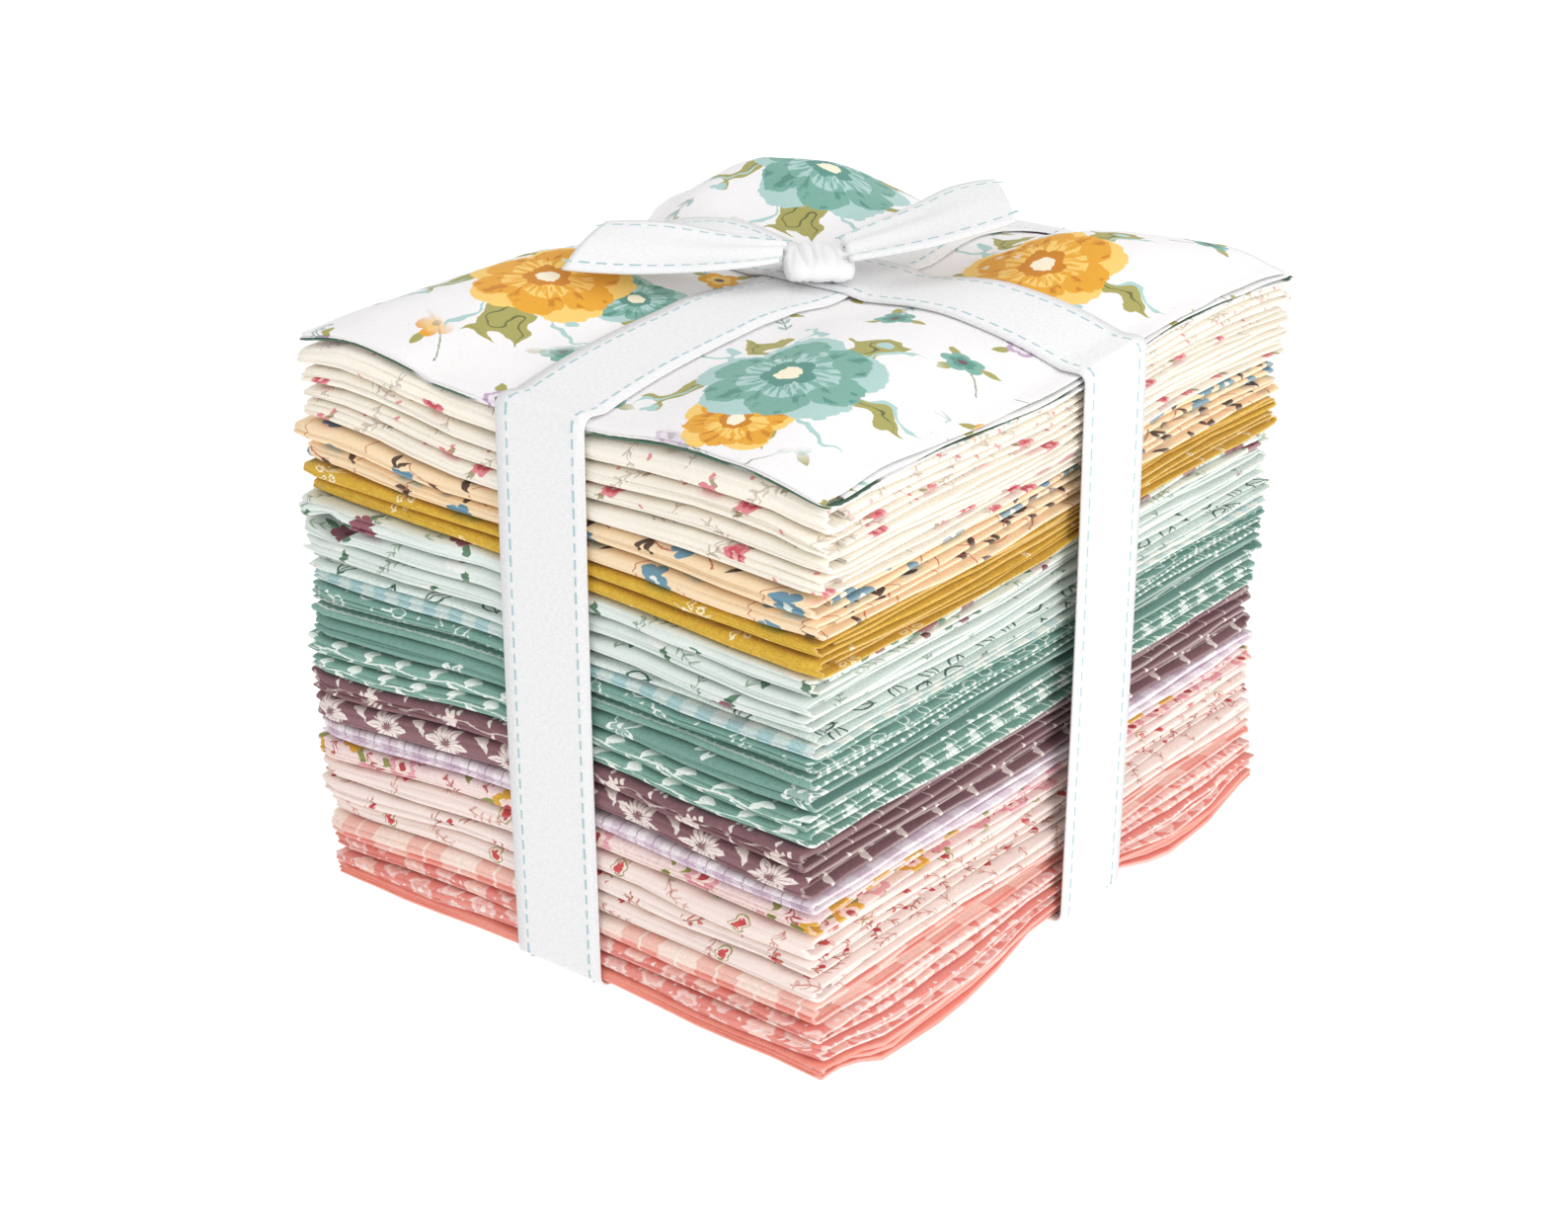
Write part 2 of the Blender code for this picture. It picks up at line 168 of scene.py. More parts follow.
def crown(x, y):
    """Height of the top of the stack over its corners."""
    right = np.clip(0.5 + x / BLEND[0], 0.0, 1.0)
    back = np.clip(0.5 + (y - RIBBON_Y) / BLEND[1], 0.0, 1.0)
    front_row, back_row = [row[0] * (1.0 - right) + row[1] * right for row in PILLOWS]
    across = fall(x, PILLOW_SPAN[0])
    along = fall(y, PILLOW_SPAN[1])
    long_band = pressed(x)
    short_band = pressed(y - RIBBON_Y)
    held_down = (1.0 - PRESSED_SHARE * long_band) * (1.0 - PRESSED_SHARE * short_band)
    dip = FRONT_DIP * long_band * (1.0 - along) + SIDE_DIP * short_band * (1.0 - across)
    for from_x, from_y, to_x, to_y, width, depth in CREASES:
        run_x, run_y = to_x - from_x, to_y - from_y
        t = np.clip(((x - from_x) * run_x + (y - from_y) * run_y) / (run_x ** 2 + run_y ** 2), 0.0, 1.0)
        apart = (x - from_x - t * run_x) ** 2 + (y - from_y - t * run_y) ** 2
        dip = dip + depth * np.exp(-apart / width ** 2) * (1.0 - CREASE_FADE * t)
    shoulder = SHOULDER_RISE * ease(*SHOULDER_FROM_RIBBON, y) * (1.0 - ease(*SHOULDER_TO_BACK, y))
    shoulder = shoulder * (1.0 - ease(*SHOULDER_ACROSS, x))
    return (front_row * (1.0 - back) + back_row * back) * across * along * held_down + shoulder - dip


def underside(x, y):
    """Height of the stack's lowest face over the floor."""
    channels = RIBBON_STEP * (pressed(x) + pressed(y - RIBBON_Y))
    pulled_up = pressed(y - RIBBON_Y) * ease(RIBBON_LIFT_FROM, REACH[0], np.abs(x))
    return EDGE_LIFT * ease(EDGE_LIFT_FROM, REACH[1], np.abs(y)) + channels + RIBBON_LIFT * pulled_up


def sag(height, x, y):
    """How far a layer strays from an even height, from the front's own rises and the side's tilt."""
    heights = [row[0] for row in SAG]
    columns = [np.interp(height, heights, [mm * 0.001 for mm in column])
               for column in zip(*[row[1] for row in SAG])]
    rise = np.zeros_like(x)
    for i, (start, end) in enumerate(zip(SAG_ACROSS, SAG_ACROSS[1:])):
        rise = rise + (columns[i + 1] - columns[i]) * ease(start, end, x)
    front = 1.0 - SAG_LOST * ease(*SAG_LOST_BETWEEN, y)
    share = (height / STACK) ** 1.5
    tilt = SIDE_TILT * share * np.sin(np.clip((y - RIBBON_Y) / SIDE_TILT_REACH, -1.0, 1.0) * 1.57)
    return (columns[0] + rise) * front + tilt * ease(*SIDE_TILT_FROM, x)


def level(height, x, y):
    """Height over the floor of the layer that is so high at the stack's corners."""
    inner_x = np.clip(x, -REACH[0], REACH[0])
    inner_y = np.clip(y, -REACH[1], REACH[1])
    low = max(0.0, 1.0 - height / BOTTOM_ZONE)
    high = max(0.0, (height - STACK + TOP_ZONE) / TOP_ZONE)
    lift = CORNER_LIFT + height + (underside(inner_x, inner_y) - CORNER_LIFT) * low
    settled = ease(0.0, 0.010, height) * ease(0.0, 0.006, STACK - height)
    droop = SIDE_DROOP * (1.0 - pressed(y - RIBBON_Y)) * ease(*SIDE_DROOP_FROM, np.abs(x)) ** 1.5
    droop = droop + FRONT_DROOP * (1.0 - pressed(x)) * ease(*FRONT_DROOP_FROM, np.abs(y)) ** 1.5
    puff = PUFF * (1.0 - pressed(y - RIBBON_Y)) * (1.0 - pressed(x)) * ease(*PUFF_FROM, np.abs(x))
    ripple = RIPPLES[0] * drift(x + 0.4 * y, height * 911.0)
    ripple = ripple + RIPPLES[1] * drift(y / 2.2, height * 613.0)
    raised = (crown(inner_x, inner_y) + puff - droop) * high
    return lift + raised + sag(height, inner_x, inner_y) + ripple * settled


def spread(count):
    """Shares from 0 to 1, closer together near both ends."""
    even = np.linspace(0.0, 1.0, count + 1)
    return 0.45 * even + 0.55 * (0.5 - 0.5 * np.cos(math.pi * even))


def turn(start, end, steps):
    """Angles of a round fold between its two ends, which are left out."""
    return np.radians(np.linspace(start, end, steps + 1))[1:-1]


def along_cut(thickness, leaf, steps, inset):
    """Places along the cloth from its hidden end to its free edge, one row each.

    A row holds its shares of the front fold, the back fold and the free edge, its offset and height,
    the way out as two numbers, and which leaf it is in.
    """
    low = leaf / 2.0
    middle = thickness / 2.0
    high = thickness - leaf / 2.0
    small = (middle - low) / 2.0
    large = (high - low) / 2.0
    rows = [(1 - t, t, 0, inset * (1 - t), middle, 0, 1, 1.0) for t in spread(steps)]
    for a in turn(90, -90, SMALL_STEPS):
        rows.append((0, 1, 0, small * math.cos(a), middle - small + small * math.sin(a),
                     math.cos(a), math.sin(a), 0.5 + a / math.pi))
    rows += [(t, 1 - t, 0, 0, low, 0, -1, 0.0) for t in spread(steps)]
    for t in spread(LARGE_STEPS)[1:-1]:
        rise = 2.0 * t - 1.0
        bulge = (1.0 - abs(rise) ** RIDGE_SQUARENESS) ** 0.5
        slope = 0.5 * RIDGE_SQUARENESS * abs(rise) ** (RIDGE_SQUARENESS - 1.0) * math.copysign(1.0, rise)
        reach = math.hypot(bulge, slope)
        rows.append((1, 0, 0, -large * bulge, low + 2.0 * large * t, -bulge / reach, slope / reach, 2.0 * t))
    rows += [(1 - t, 0, t, 0, high, 0, 1, 2.0) for t in spread(steps)]
    return np.array(rows)


def across_cut(ply, steps, inset):
    """Places across the cloth, one row each, with its wide fold at +X.

    A row holds its shares of the narrow fold and the wide fold, its offset, its depth in the leaf, and
    the right side's way out as two numbers.
    """
    rows = [(1 - t, t, -inset * t, 0, 0, -1) for t in spread(steps)[::-1]]
    for a in turn(270, 90, 4):
        rows.append((1, 0, ply / 2 * math.cos(a), ply / 2 + ply / 2 * math.sin(a), math.cos(a), math.sin(a)))
    rows += [(1 - t, t, 0, ply, 0, 1) for t in spread(steps)]
    for a in turn(90, -90, 6):
        rows.append((0, 1, ply * math.cos(a), ply * math.sin(a), math.cos(a), math.sin(a)))
    rows += [(1 - t, t, inset * (1 - t), -ply, 0, -1) for t in spread(steps)[::-1]]
    return np.array(rows)


def lay(name, data):
    """Put a new object in the scene, and give it back."""
    made = bpy.data.objects.new(name, data)
    bpy.context.scene.collection.objects.link(made)
    return made


def fold_cotton(name, number, base, thickness, left, forward, skew, ridge_in_front, steps, left_gap, grooved):
    """One folded cotton as a closed thin cloth, with its cut's own coordinates as a UV map."""
    leaf = (thickness - 2 * LAYER_GAP) / 3
    ply = leaf / 3
    cloth = min(CLOTH, CLOTH_SHARE * ply)
    phase = number * 1.37
    facing = 1.0 if ridge_in_front else -1.0
    wide_side = 1.0 if number % 2 else -1.0
    low = leaf / 2.0
    small = (thickness / 2.0 - low) / 2.0
    large = (thickness - leaf) / 2.0
    s = along_cut(thickness, leaf, steps[1], LEAF_INSET)
    u = across_cut(ply, steps[0], PLY_INSET)
    to_front, to_back, to_free, shift_y, height, out_y, out_v, leaf_number = [c[:, None] for c in s.T]
    to_narrow, to_wide, shift_x, depth, way_x, way_o = [c[None, :] for c in u.T]

    rough_x = wide_side * (to_wide - to_narrow) * WIDTH / 2 - left
    loose = 1.0 - pressed(rough_x)
    lean = forward + skew * rough_x / (WIDTH / 2)
    ridge = -DEPTH / 2 - lean * loose + RIDGE_WANDER * loose * drift(rough_x, phase)
    rear = DEPTH / 2 - forward * 0.6 - REAR_WANDER * (1 + drift(rough_x, phase + 2)) * loose
    if not ridge_in_front:
        ridge, rear = -rear, -ridge
    front_line = ridge + large + low
    back_line = rear - small - low
    free_line = rear - FREE_EDGE - FREE_WANDER * drift(rough_x, phase + 4)
    run_y = to_front * front_line + to_back * back_line + to_free * free_line + shift_y
    for i, share in enumerate(GROOVE_HEIGHTS):
        groove_at = share + 0.09 * math.sin(2.3 * number + 4 * i) + 0.04 * drift(rough_x, phase + 9 + i)
        groove = np.exp(-(((height - low) / (2 * large) - groove_at) / GROOVE_WIDTH) ** 2)
        uneven = np.clip(0.65 + 0.60 * drift(rough_x / 1.6, phase + 7 + i), 0.0, 1.3)
        groove = groove * (GROOVE_DEPTH * grooved * uneven)
        run_y = run_y + groove * (0.4 + 0.6 * loose) * (to_front == 1.0) * (shift_y < 0.0)

    tucked = TUCK * (1 + np.sin(2.7 * leaf_number + 9.1 * phase))
    narrow = WIDTH / 2 - ply / 2 - cloth / 2 - tucked
    narrow = narrow - SIDE_WANDER * (1 + drift(run_y, phase + leaf_number))
    wide = WIDTH / 2 - ply - cloth / 2 - tucked - SIDE_WANDER * (1 + drift(run_y, phase + 5 + leaf_number))
    faces_of_cloth = []
    for side in (0.5, -0.5):
        across = to_wide * wide - to_narrow * narrow + shift_x + side * cloth * way_x
        offset = depth + side * cloth * way_o
        x = wide_side * across - left
        y = facing * (run_y + offset * out_y)
        past_x = np.maximum(1e-9, np.abs(x) - WIDTH / 2 + CORNER_ROUND)
        past_y = np.maximum(1e-9, np.abs(y) - DEPTH / 2 + CORNER_ROUND)
        drawn_in = 1.0 - np.maximum(past_x, past_y) / np.hypot(past_x, past_y)
        x = x - np.sign(x) * past_x * drawn_in
        y = y - np.sign(y) * past_y * drawn_in
        v = height + offset * out_v
        under = level(base, x, y) + PIECE_GAP / 2
        over = level(base + thickness, x, y) - PIECE_GAP / 2
        gap = RIDGE_GAP * np.clip(0.35 + drift(x / 1.4, phase + 11), 0.0, 1.2)
        over = over - gap * (1.0 - ease(0.0, RIDGE_GAP_DEPTH, facing * y + DEPTH / 2))
        over = over - SIDE_GAP * ease(*SIDE_GAP_FROM, np.abs(x))
        open_left = ease(*OPEN_FROM, x) * (1.0 - ease(*OPEN_TO, x))
        open_left = open_left * (1.0 - ease(*OPEN_BACK, y + DEPTH / 2))
        over = over - max(0.0, left_gap) * open_left
        under = under + max(0.0, -left_gap) * open_left
        z = under + (over - under) * v / thickness
        faces_of_cloth.append(np.stack(np.broadcast_arrays(x, y, z), axis=-1))

    rows, columns = faces_of_cloth[0].shape[:2]
    points = np.concatenate([grid.reshape(-1, 3) for grid in faces_of_cloth])
    index = np.arange(rows * columns).reshape(rows, columns)
    quads = np.stack((index[:-1, :-1], index[1:, :-1], index[1:, 1:], index[:-1, 1:]), axis=-1)
    quads = quads.reshape(-1, 4)
    rim = np.concatenate((index[0, :-1], index[:-1, -1], index[-1, :0:-1], index[:0:-1, 0]))
    next_rim = np.roll(rim, -1)
    below = rows * columns
    edge = np.stack((rim, next_rim, next_rim + below, rim + below), axis=-1)
    quads = np.concatenate((quads, quads[:, ::-1] + below, edge))
    corners = points[quads]
    halves = np.cross(corners[:, 1] - corners[:, 0], corners[:, 3] - corners[:, 0])
    halves = halves + np.cross(corners[:, 3] - corners[:, 2], corners[:, 1] - corners[:, 2])
    if np.sum(corners.mean(axis=1) * halves) < 0:
        quads = quads[:, ::-1]

    mesh = bpy.data.meshes.new(name)
    mesh.from_pydata(points.tolist(), [], quads.tolist())
    middle_y = run_y[:, columns // 2]
    nominal_x = (to_wide * wide[:1] - to_narrow * narrow[:1] + shift_x)[0]
    cut_s = np.cumsum(np.concatenate(([0.0], np.hypot(np.diff(middle_y), np.diff(height[:, 0])))))
    cut_u = np.cumsum(np.concatenate(([0.0], np.hypot(np.diff(nominal_x), np.diff(depth[0])))))
    ridge_row = 2 * (steps[1] + 1) + SMALL_STEPS - 1 + LARGE_STEPS // 2 - 1
    cut_s = cut_s - cut_s[ridge_row]
    cut_u = wide_side * (cut_u - cut_u[columns // 2 - 1]) + PRINT_SHIFT * (30 - number)
    place = np.stack(np.meshgrid(cut_u, cut_s), axis=-1).reshape(-1, 2)
    place = np.concatenate((place, place))
    corner_vertex = np.zeros(len(mesh.loops), np.int32)
    mesh.loops.foreach_get("vertex_index", corner_vertex)
    mesh.uv_layers.new(name="Cut").data.foreach_set("uv", place[corner_vertex].astype(np.float32).ravel())
    # Painted highlight: on one face the turned edges at the sides are made paler, standing in for light
    # catching them; the other face is marked paler all over as the cloth's reverse side.
    fold_edge_highlight = np.abs(way_x) * (0.34 + 0.34 * drift(run_y / 1.7, phase + 3 + leaf_number))
    pale = np.concatenate((np.broadcast_to(fold_edge_highlight, (rows, columns)).ravel(), np.ones(below)))
    mesh.attributes.new("paler", "FLOAT", "POINT").data.foreach_set("value", pale.astype(np.float32))
    mesh.shade_smooth()
    mesh.update()
    return lay(name, mesh)


cottons = []


def add_cotton(name, thickness, left, forward, skew, material, steps=(14, 18), left_gap=0.0, grooved=1.0,
               ridge_in_front=True):
    """Fold the next cotton of the stack and lay it on the last one."""
    base = sum(laid[1] for laid in cottons)
    number = len(cottons) + 1
    piece = fold_cotton(f"cotton_{number:02d}_{name}", number, base, thickness, left, forward, skew,
                        ridge_in_front, steps, left_gap, grooved)
    piece.data.materials.append(material)
    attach(piece, "root")
    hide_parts(f"fat_quarter_{number:02d}_{name}")
    cottons.append((piece, thickness))


# Printed cloth
# Every fabric is the same plain-woven cotton, printed on its right side with small motifs of its own. A
# motif is worked out in mm from its place on the flat cut, so the print follows each fold.
THREAD_PITCH = 0.62
ANY_TURN = 6.28


def tint(red, green, blue):
    """A colour as the eye gives it, from 0 to 255, as the shader's own values."""
    shares = [value / 255.0 for value in (red, green, blue)]
    return (*[s / 12.92 if s <= 0.04045 else ((s + 0.055) / 1.055) ** 2.4 for s in shares], 1.0)


class Shade:
    """A socket of a material. Sums on it add the Math nodes that work them out."""

    def __init__(self, tree, socket=None):
        self.tree = tree
        self.socket = socket

    def node(self, kind, settings=None, values=None, output=0):
        """Add a node: its settings first, and then the values or links of its sockets."""
        made = self.tree.nodes.new(kind)
        for name, value in (settings or {}).items():
            setattr(made, name, value)
        for name, value in (values or {}).items():
            if isinstance(value, Shade):
                self.tree.links.new(value.socket, made.inputs[name])
            else:
                made.inputs[name].default_value = value
        return Shade(self.tree, made.outputs[output] if made.outputs else None)

    def out(self, name):
        """Another output of the same node."""
        return Shade(self.tree, self.socket.node.outputs[name])

    def math(self, operation, *others):
        return self.node("ShaderNodeMath", {"operation": operation}, dict(enumerate((self, *others))))

    def __add__(self, other):
        return self.math("ADD", other)

    __radd__ = __add__

    def __sub__(self, other):
        return self.math("SUBTRACT", other)

    def __rsub__(self, other):
        return self.node("ShaderNodeMath", {"operation": "SUBTRACT"}, {0: other, 1: self})

    def __mul__(self, other):
        return self.math("MULTIPLY", other)

    __rmul__ = __mul__

    def __truediv__(self, other):
        return self.math("DIVIDE", other)

    def __abs__(self):
        return self.math("ABSOLUTE")

    def __pow__(self, other):
        return self.math("POWER", other)

    def clamp(self):
        return self.node("ShaderNodeClamp", None, {0: self})

    def over(self, ground, paint):
        """Lay a colour over a ground where this mask is 1."""
        return self.node("ShaderNodeMix", {"data_type": "RGBA"}, {0: self, 6: ground, 7: paint}, 2)

    def repeat(self, pitch, shift=0.0):
        """How far this is from the middle of its own step of a repeat."""
        steps = self / pitch
        if shift:
            steps = steps + shift
        return (steps.math("FRACT") - 0.5) * pitch

    def vector(self, *parts):
        return self.node("ShaderNodeCombineXYZ", None, dict(enumerate(parts)))

    def noise(self, vector, scale, detail=2.0):
        values = {"Vector": vector, "Scale": scale, "Detail": detail}
        return self.node("ShaderNodeTexNoise", None, values)


def soft(value, width=0.22):
    """A mask that is 1 where a length in mm is above 0, with a soft edge."""
    return (value / width + 0.5).clamp()


def polar(x, y):
    """Distance and angle from a motif's middle."""
    return (x * x + y * y).math("SQRT"), y.math("ARCTAN2", x)


def turned(x, y, angle):
    """The place as seen from a motif that is turned by an angle."""
    if isinstance(angle, Shade):
        c, s = angle.math("COSINE"), angle.math("SINE")
    else:
        c, s = math.cos(angle), math.sin(angle)
    return x * c + y * s, y * c - x * s


def scatter(u, v, width, height, jitter, seed, drop=0.5):
    """Places of a repeat: x and y from the nearest motif's middle, and three random shares of it."""
    column = (u / width).math("FLOOR")
    fallen = v / height + column * drop
    chance = u.node("ShaderNodeTexWhiteNoise", {"noise_dimensions": "3D"},
                    {"Vector": u.vector(column, fallen.math("FLOOR"), float(seed))}, "Color")
    a = u.node("ShaderNodeSeparateColor", None, {0: chance})
    b, c = a.out(1), a.out(2)
    x = u.repeat(width) + (a - 0.5) * jitter
    y = (fallen.math("FRACT") - 0.5) * height + (b - 0.5) * jitter
    return x, y, a, b, c


def petals(r, a, radius, count, depth=0.3, start=0.0, power=0.6, edge=0.22):
    """A flower's outline with round petals."""
    lobes = abs(((a + start) * (count / 2.0)).math("COSINE")) ** power
    return soft(radius * (1.0 - depth) + lobes * (radius * depth) - r, edge)


def leaf(x, y, length, width, edge=0.22):
    """A pointed leaf that starts at the place and runs along x."""
    t = x / length
    return soft(t * (1.0 - t) * (2.0 * width) - abs(y), edge)


def leaves_round(r, a, count, inner, length, width, start=0.0):
    """Leaves that stand out from a circle."""
    bearing = (a + start).repeat(2.0 * math.pi / count)
    return leaf(r * bearing.math("COSINE") - inner, r * bearing.math("SINE"), length, width)


def new_material(name, values):
    """A new material, with plain values on its shader's sockets."""
    material = bpy.data.materials.new(name)
    material.use_nodes = True
    shader = material.node_tree.nodes["Principled BSDF"]
    for socket, value in values.items():
        shader.inputs[socket].default_value = value
    return material, shader


def place_on_cut(material):
    """The place on a cloth's own cut, across it and along it, in mm."""
    cut = Shade(material.node_tree).node("ShaderNodeUVMap", {"uv_map": "Cut"})
    parts = cut.node("ShaderNodeSeparateXYZ", None, {0: cut})
    return parts * 1000.0, parts.out(1) * 1000.0


def finish_cloth(shader, colour, relief, strength, distance):
    """Give a cloth its colour, and its threads as a fine relief."""
    bump = relief.node("ShaderNodeBump", None, {"Height": relief, "Strength": strength, "Distance": distance})
    relief.tree.links.new(colour.socket, shader.inputs["Base Color"])
    relief.tree.links.new(bump.socket, shader.inputs["Normal"])


def cotton_print(name, paint, wrong_side_and_highlight_share=0.62, grain=0.42):
    """Plain-woven quilting cotton, printed on its right side, with paler colours on its reverse side and a
    painted highlight that pales its turned side edges.
    """
    material, shader = new_material(name, {"Roughness": 0.85, "Specular IOR Level": 0.25,
                                           "Sheen Weight": 0.12, "Sheen Roughness": 0.5})
    u, v = place_on_cut(material)
    place = u.vector(u, v, 0.0)
    wobble = (u.noise(place, 0.9, 1.0) - 0.5) * 0.5
    colour = paint(u + wobble, v + wobble)
    threads = u.noise(u.vector(u * 0.9, v * 3.2, 0.0), 1.0, 1.0)
    crossing = u.noise(u.vector(u * 3.2, v * 0.9, 5.0), 1.0, 1.0)
    mottle = (threads + crossing) * grain + (1.0 - grain)
    mottle = mottle * (0.95 + u.noise(place, 0.06, 2.0) * 0.10)
    shaded = u.node("ShaderNodeVectorMath", {"operation": "SCALE"}, {0: colour, "Scale": mottle})
    # The paler attribute marks the reverse side, which is really paler, and the turned side edges, where the
    # paleness is a painted highlight.
    wrong_side_and_highlight = u.node("ShaderNodeAttribute", {"attribute_name": "paler"}, None, "Fac")
    wrong_side_and_highlight_colour = (wrong_side_and_highlight * wrong_side_and_highlight_share).over(shaded, tint(246, 240, 232))
    thread = 2.0 * math.pi / THREAD_PITCH
    weave = (u * thread).math("SINE") * (v * thread).math("SINE")
    finish_cloth(shader, wrong_side_and_highlight_colour, weave * 0.5 + (threads + crossing) * 1.2, 0.22, 0.00012)
    return material


# Salmon and corals
# The four lowest cottons: a plain salmon, two corals with small white outlined blossoms, and a plaid of
# coral and cream blocks.
def printed(ground, *inks):
    """Lay the inks of a print over its ground, one after another."""
    for mask, ink in inks:
        ground = mask.over(ground, tint(*ink))
    return ground


def dots(u, v, width, height, jitter, seed, radius, drop=0.5):
    """A mask of round dots in a repeat."""
    x, y, *_ = scatter(u, v, width, height, jitter, seed, drop)
    return soft(radius - polar(x, y)[0])


def checks(u, v, pitch, shift, pale, deep):
    """Stripes both ways, deeper where they cross."""
    across = soft(abs(u.repeat(pitch)) - pitch / 4, 0.3)
    along = soft(abs(v.repeat(pitch, shift)) - pitch / 4, 0.3)
    return (across * 0.5 + along * 0.5).over(tint(*pale), tint(*deep))


def paint_salmon(u, v):
    blotch = u.noise(u.vector(u, v, 3.0), 0.15, 2.0)
    return blotch.over(tint(238, 148, 132), tint(245, 164, 148))


def paint_coral_blossom(u, v):
    x, y, _, _, c = scatter(u, v, 10.0, 8.0, 2.0, 1)
    r, angle = polar(x, y)
    whole = petals(r, angle + c * ANY_TURN, 3.7, 5, 0.26, edge=0.5)
    inner = petals(r, angle + c * ANY_TURN, 2.6, 5, 0.30, edge=0.5)
    eye = soft(0.8 - r)
    flower = ((whole - inner) * 0.8 + inner * 0.35 + eye).clamp()
    specks = dots(u, v, 3.7, 3.3, 1.6, 2, 0.42) * (1.0 - soft(3.9 - r))
    return printed(tint(234, 148, 137),
                   ((flower + specks).clamp() * 0.8, (252, 246, 240)),
                   (soft(c - 0.5, 0.01) * (inner - eye).clamp() * 0.75, (252, 214, 200)))


def paint_coral_plaid(u, v):
    line = soft(0.4 - abs(u.repeat(11.0, 0.5))) * 0.7
    return printed(checks(u, v, 22.0, 0.25, (251, 228, 216), (236, 152, 138)), (line, (250, 240, 230)))


# The third value is how strongly the reverse side and the painted highlight on the turned edges pale each
# cloth; the corals take more.
salmon = cotton_print("salmon cotton", paint_salmon, 0.80, 0.25)
coral_blossom = cotton_print("coral blossom cotton", paint_coral_blossom, 1.25, 0.25)
coral_plaid = cotton_print("coral plaid cotton", paint_coral_plaid, 1.20, 0.25)
add_cotton("salmon_plain", 0.0042, 0.0004, 0.0002, 0.0004, salmon)
add_cotton("coral_blossom_a", 0.0043, 0.0000, 0.0008, -0.0004, coral_blossom)
add_cotton("coral_blossom_b", 0.0041, 0.0010, 0.0000, 0.0006, coral_blossom)
add_cotton("coral_plaid", 0.0062, 0.0018, 0.0012, 0.0000, coral_plaid)


# Pinks
# Pale pinks with tiny red sprigs, olive rings and fine stems, and a fuller floral with gold and green.
def twigs(u, v, seed, width, height):
    """Fine stems with a few pairs of small leaves: masks of the stem and the leaves."""
    x, y, _, _, c = scatter(u, v, width, height, width * 0.35, seed)
    x, y = turned(x, y, c * ANY_TURN)
    y = y - x * x * 0.05
    reach = soft(width * 0.32 - abs(x))
    side = ((x / 2.4).math("FRACT") - 0.2) * 2.4
    return soft(0.16 - abs(y)) * reach, leaf(side, abs(y) - side * 0.8, 1.7, 0.7) * reach


def paint_pale_pink(u, v):
    stem, pair = twigs(u, v, 3, 14.0, 13.0)
    x, y, a, *_ = scatter(u, v, 17.0, 15.0, 7.0, 4)
    r, angle = polar(x, y)
    return printed(tint(248, 231, 224),
                   ((stem + pair * 0.6).clamp(), (200, 134, 120)),
                   (soft(0.175 - abs(r - 1.9)) * soft(a - 0.4, 0.01), (168, 160, 96)),
                   (petals(r, angle, 1.3, 5, 0.4), (208, 84, 84)))


def paint_pale_pink_sprig(u, v):
    stem, pair = twigs(u, v, 5, 10.0, 9.0)
    return printed(tint(248, 233, 226),
                   (stem, (170, 122, 104)),
                   (pair, (206, 120, 108)),
                   (dots(u, v, 12.0, 10.0, 5.0, 6, 0.8), (200, 70, 78)))


def paint_pink_floral(u, v):
    x, y, _, b, _ = scatter(u, v, 15.0, 13.0, 5.0, 7)
    r, angle = polar(x, y)
    outer = petals(r, angle, 4.6, 6, 0.3, 0.4)
    stem, pair = twigs(u, v, 8, 12.0, 11.0)
    return printed(tint(246, 224, 219),
                   (leaves_round(r, angle, 3, 3.0, 5.0, 2.2), (148, 150, 84)),
                   (outer, (232, 170, 178)),
                   (outer * soft(b - 0.5, 0.01), (222, 170, 60)),
                   (petals(r, angle, 2.6, 5, 0.3), (252, 226, 216)),
                   (soft(1.1 - r), (180, 74, 78)),
                   ((stem + pair).clamp() * (1.0 - outer), (186, 92, 92)))


pale_pink = cotton_print("pale pink cotton", paint_pale_pink, grain=0.12)
pale_pink_sprig = cotton_print("pale pink sprig cotton", paint_pale_pink_sprig, grain=0.12)
pink_floral = cotton_print("pink floral cotton", paint_pink_floral)
add_cotton("pale_pink_a", 0.0048, 0.0012, 0.0004, 0.0008, pale_pink)
add_cotton("pale_pink_sprig", 0.0042, 0.0034, 0.0014, -0.0004, pale_pink_sprig)
add_cotton("pale_pink_b", 0.0054, 0.0030, 0.0016, 0.0004, pale_pink)
add_cotton("pink_floral", 0.0052, 0.0030, 0.0012, -0.0006, pink_floral)


# Lilac and plums
# A lilac gingham, a plum with rows of large white leaf pairs, and a plainer plum with small clusters.
def paint_lilac_gingham(u, v):
    line = soft(0.22 - abs(u.repeat(5.0, 0.5))) * 0.8
    return printed(checks(u, v, 10.0, 0.2, (247, 240, 243), (216, 194, 209)), (line, (190, 158, 184)))


def paint_plum_leaf(u, v):
    x, y, a, *_ = scatter(u, v + 6.2, 19.0, 13.0, 0.0, 9, 0.0)
    tilted_x, tilted_y = turned(x, y, (a - 0.5) * 0.5)
    r, angle = polar(tilted_x * 0.66, tilted_y)
    spray = leaves_round(r, angle, 6, 0.8, 3.6, 1.7, 0.52)
    veins = leaves_round(r, angle, 6, 1.2, 2.4, 0.22, 0.52)
    rays = leaves_round(r, angle, 6, 0.6, 2.4, 0.5) * (1.0 - spray)
    beside = (9.5 - abs(x)) * (soft(x) * 2.0 - 1.0)
    stroke_x, stroke_y = turned(beside + 2.6, y, 0.5)
    stroke = leaf(stroke_x, stroke_y - stroke_x * (5.4 - stroke_x) * 0.16, 5.4, 2.0)
    ink = ((spray - veins * 0.8).clamp() + rays + stroke).clamp()
    return ink.over(tint(140, 102, 108), tint(243, 230, 224))


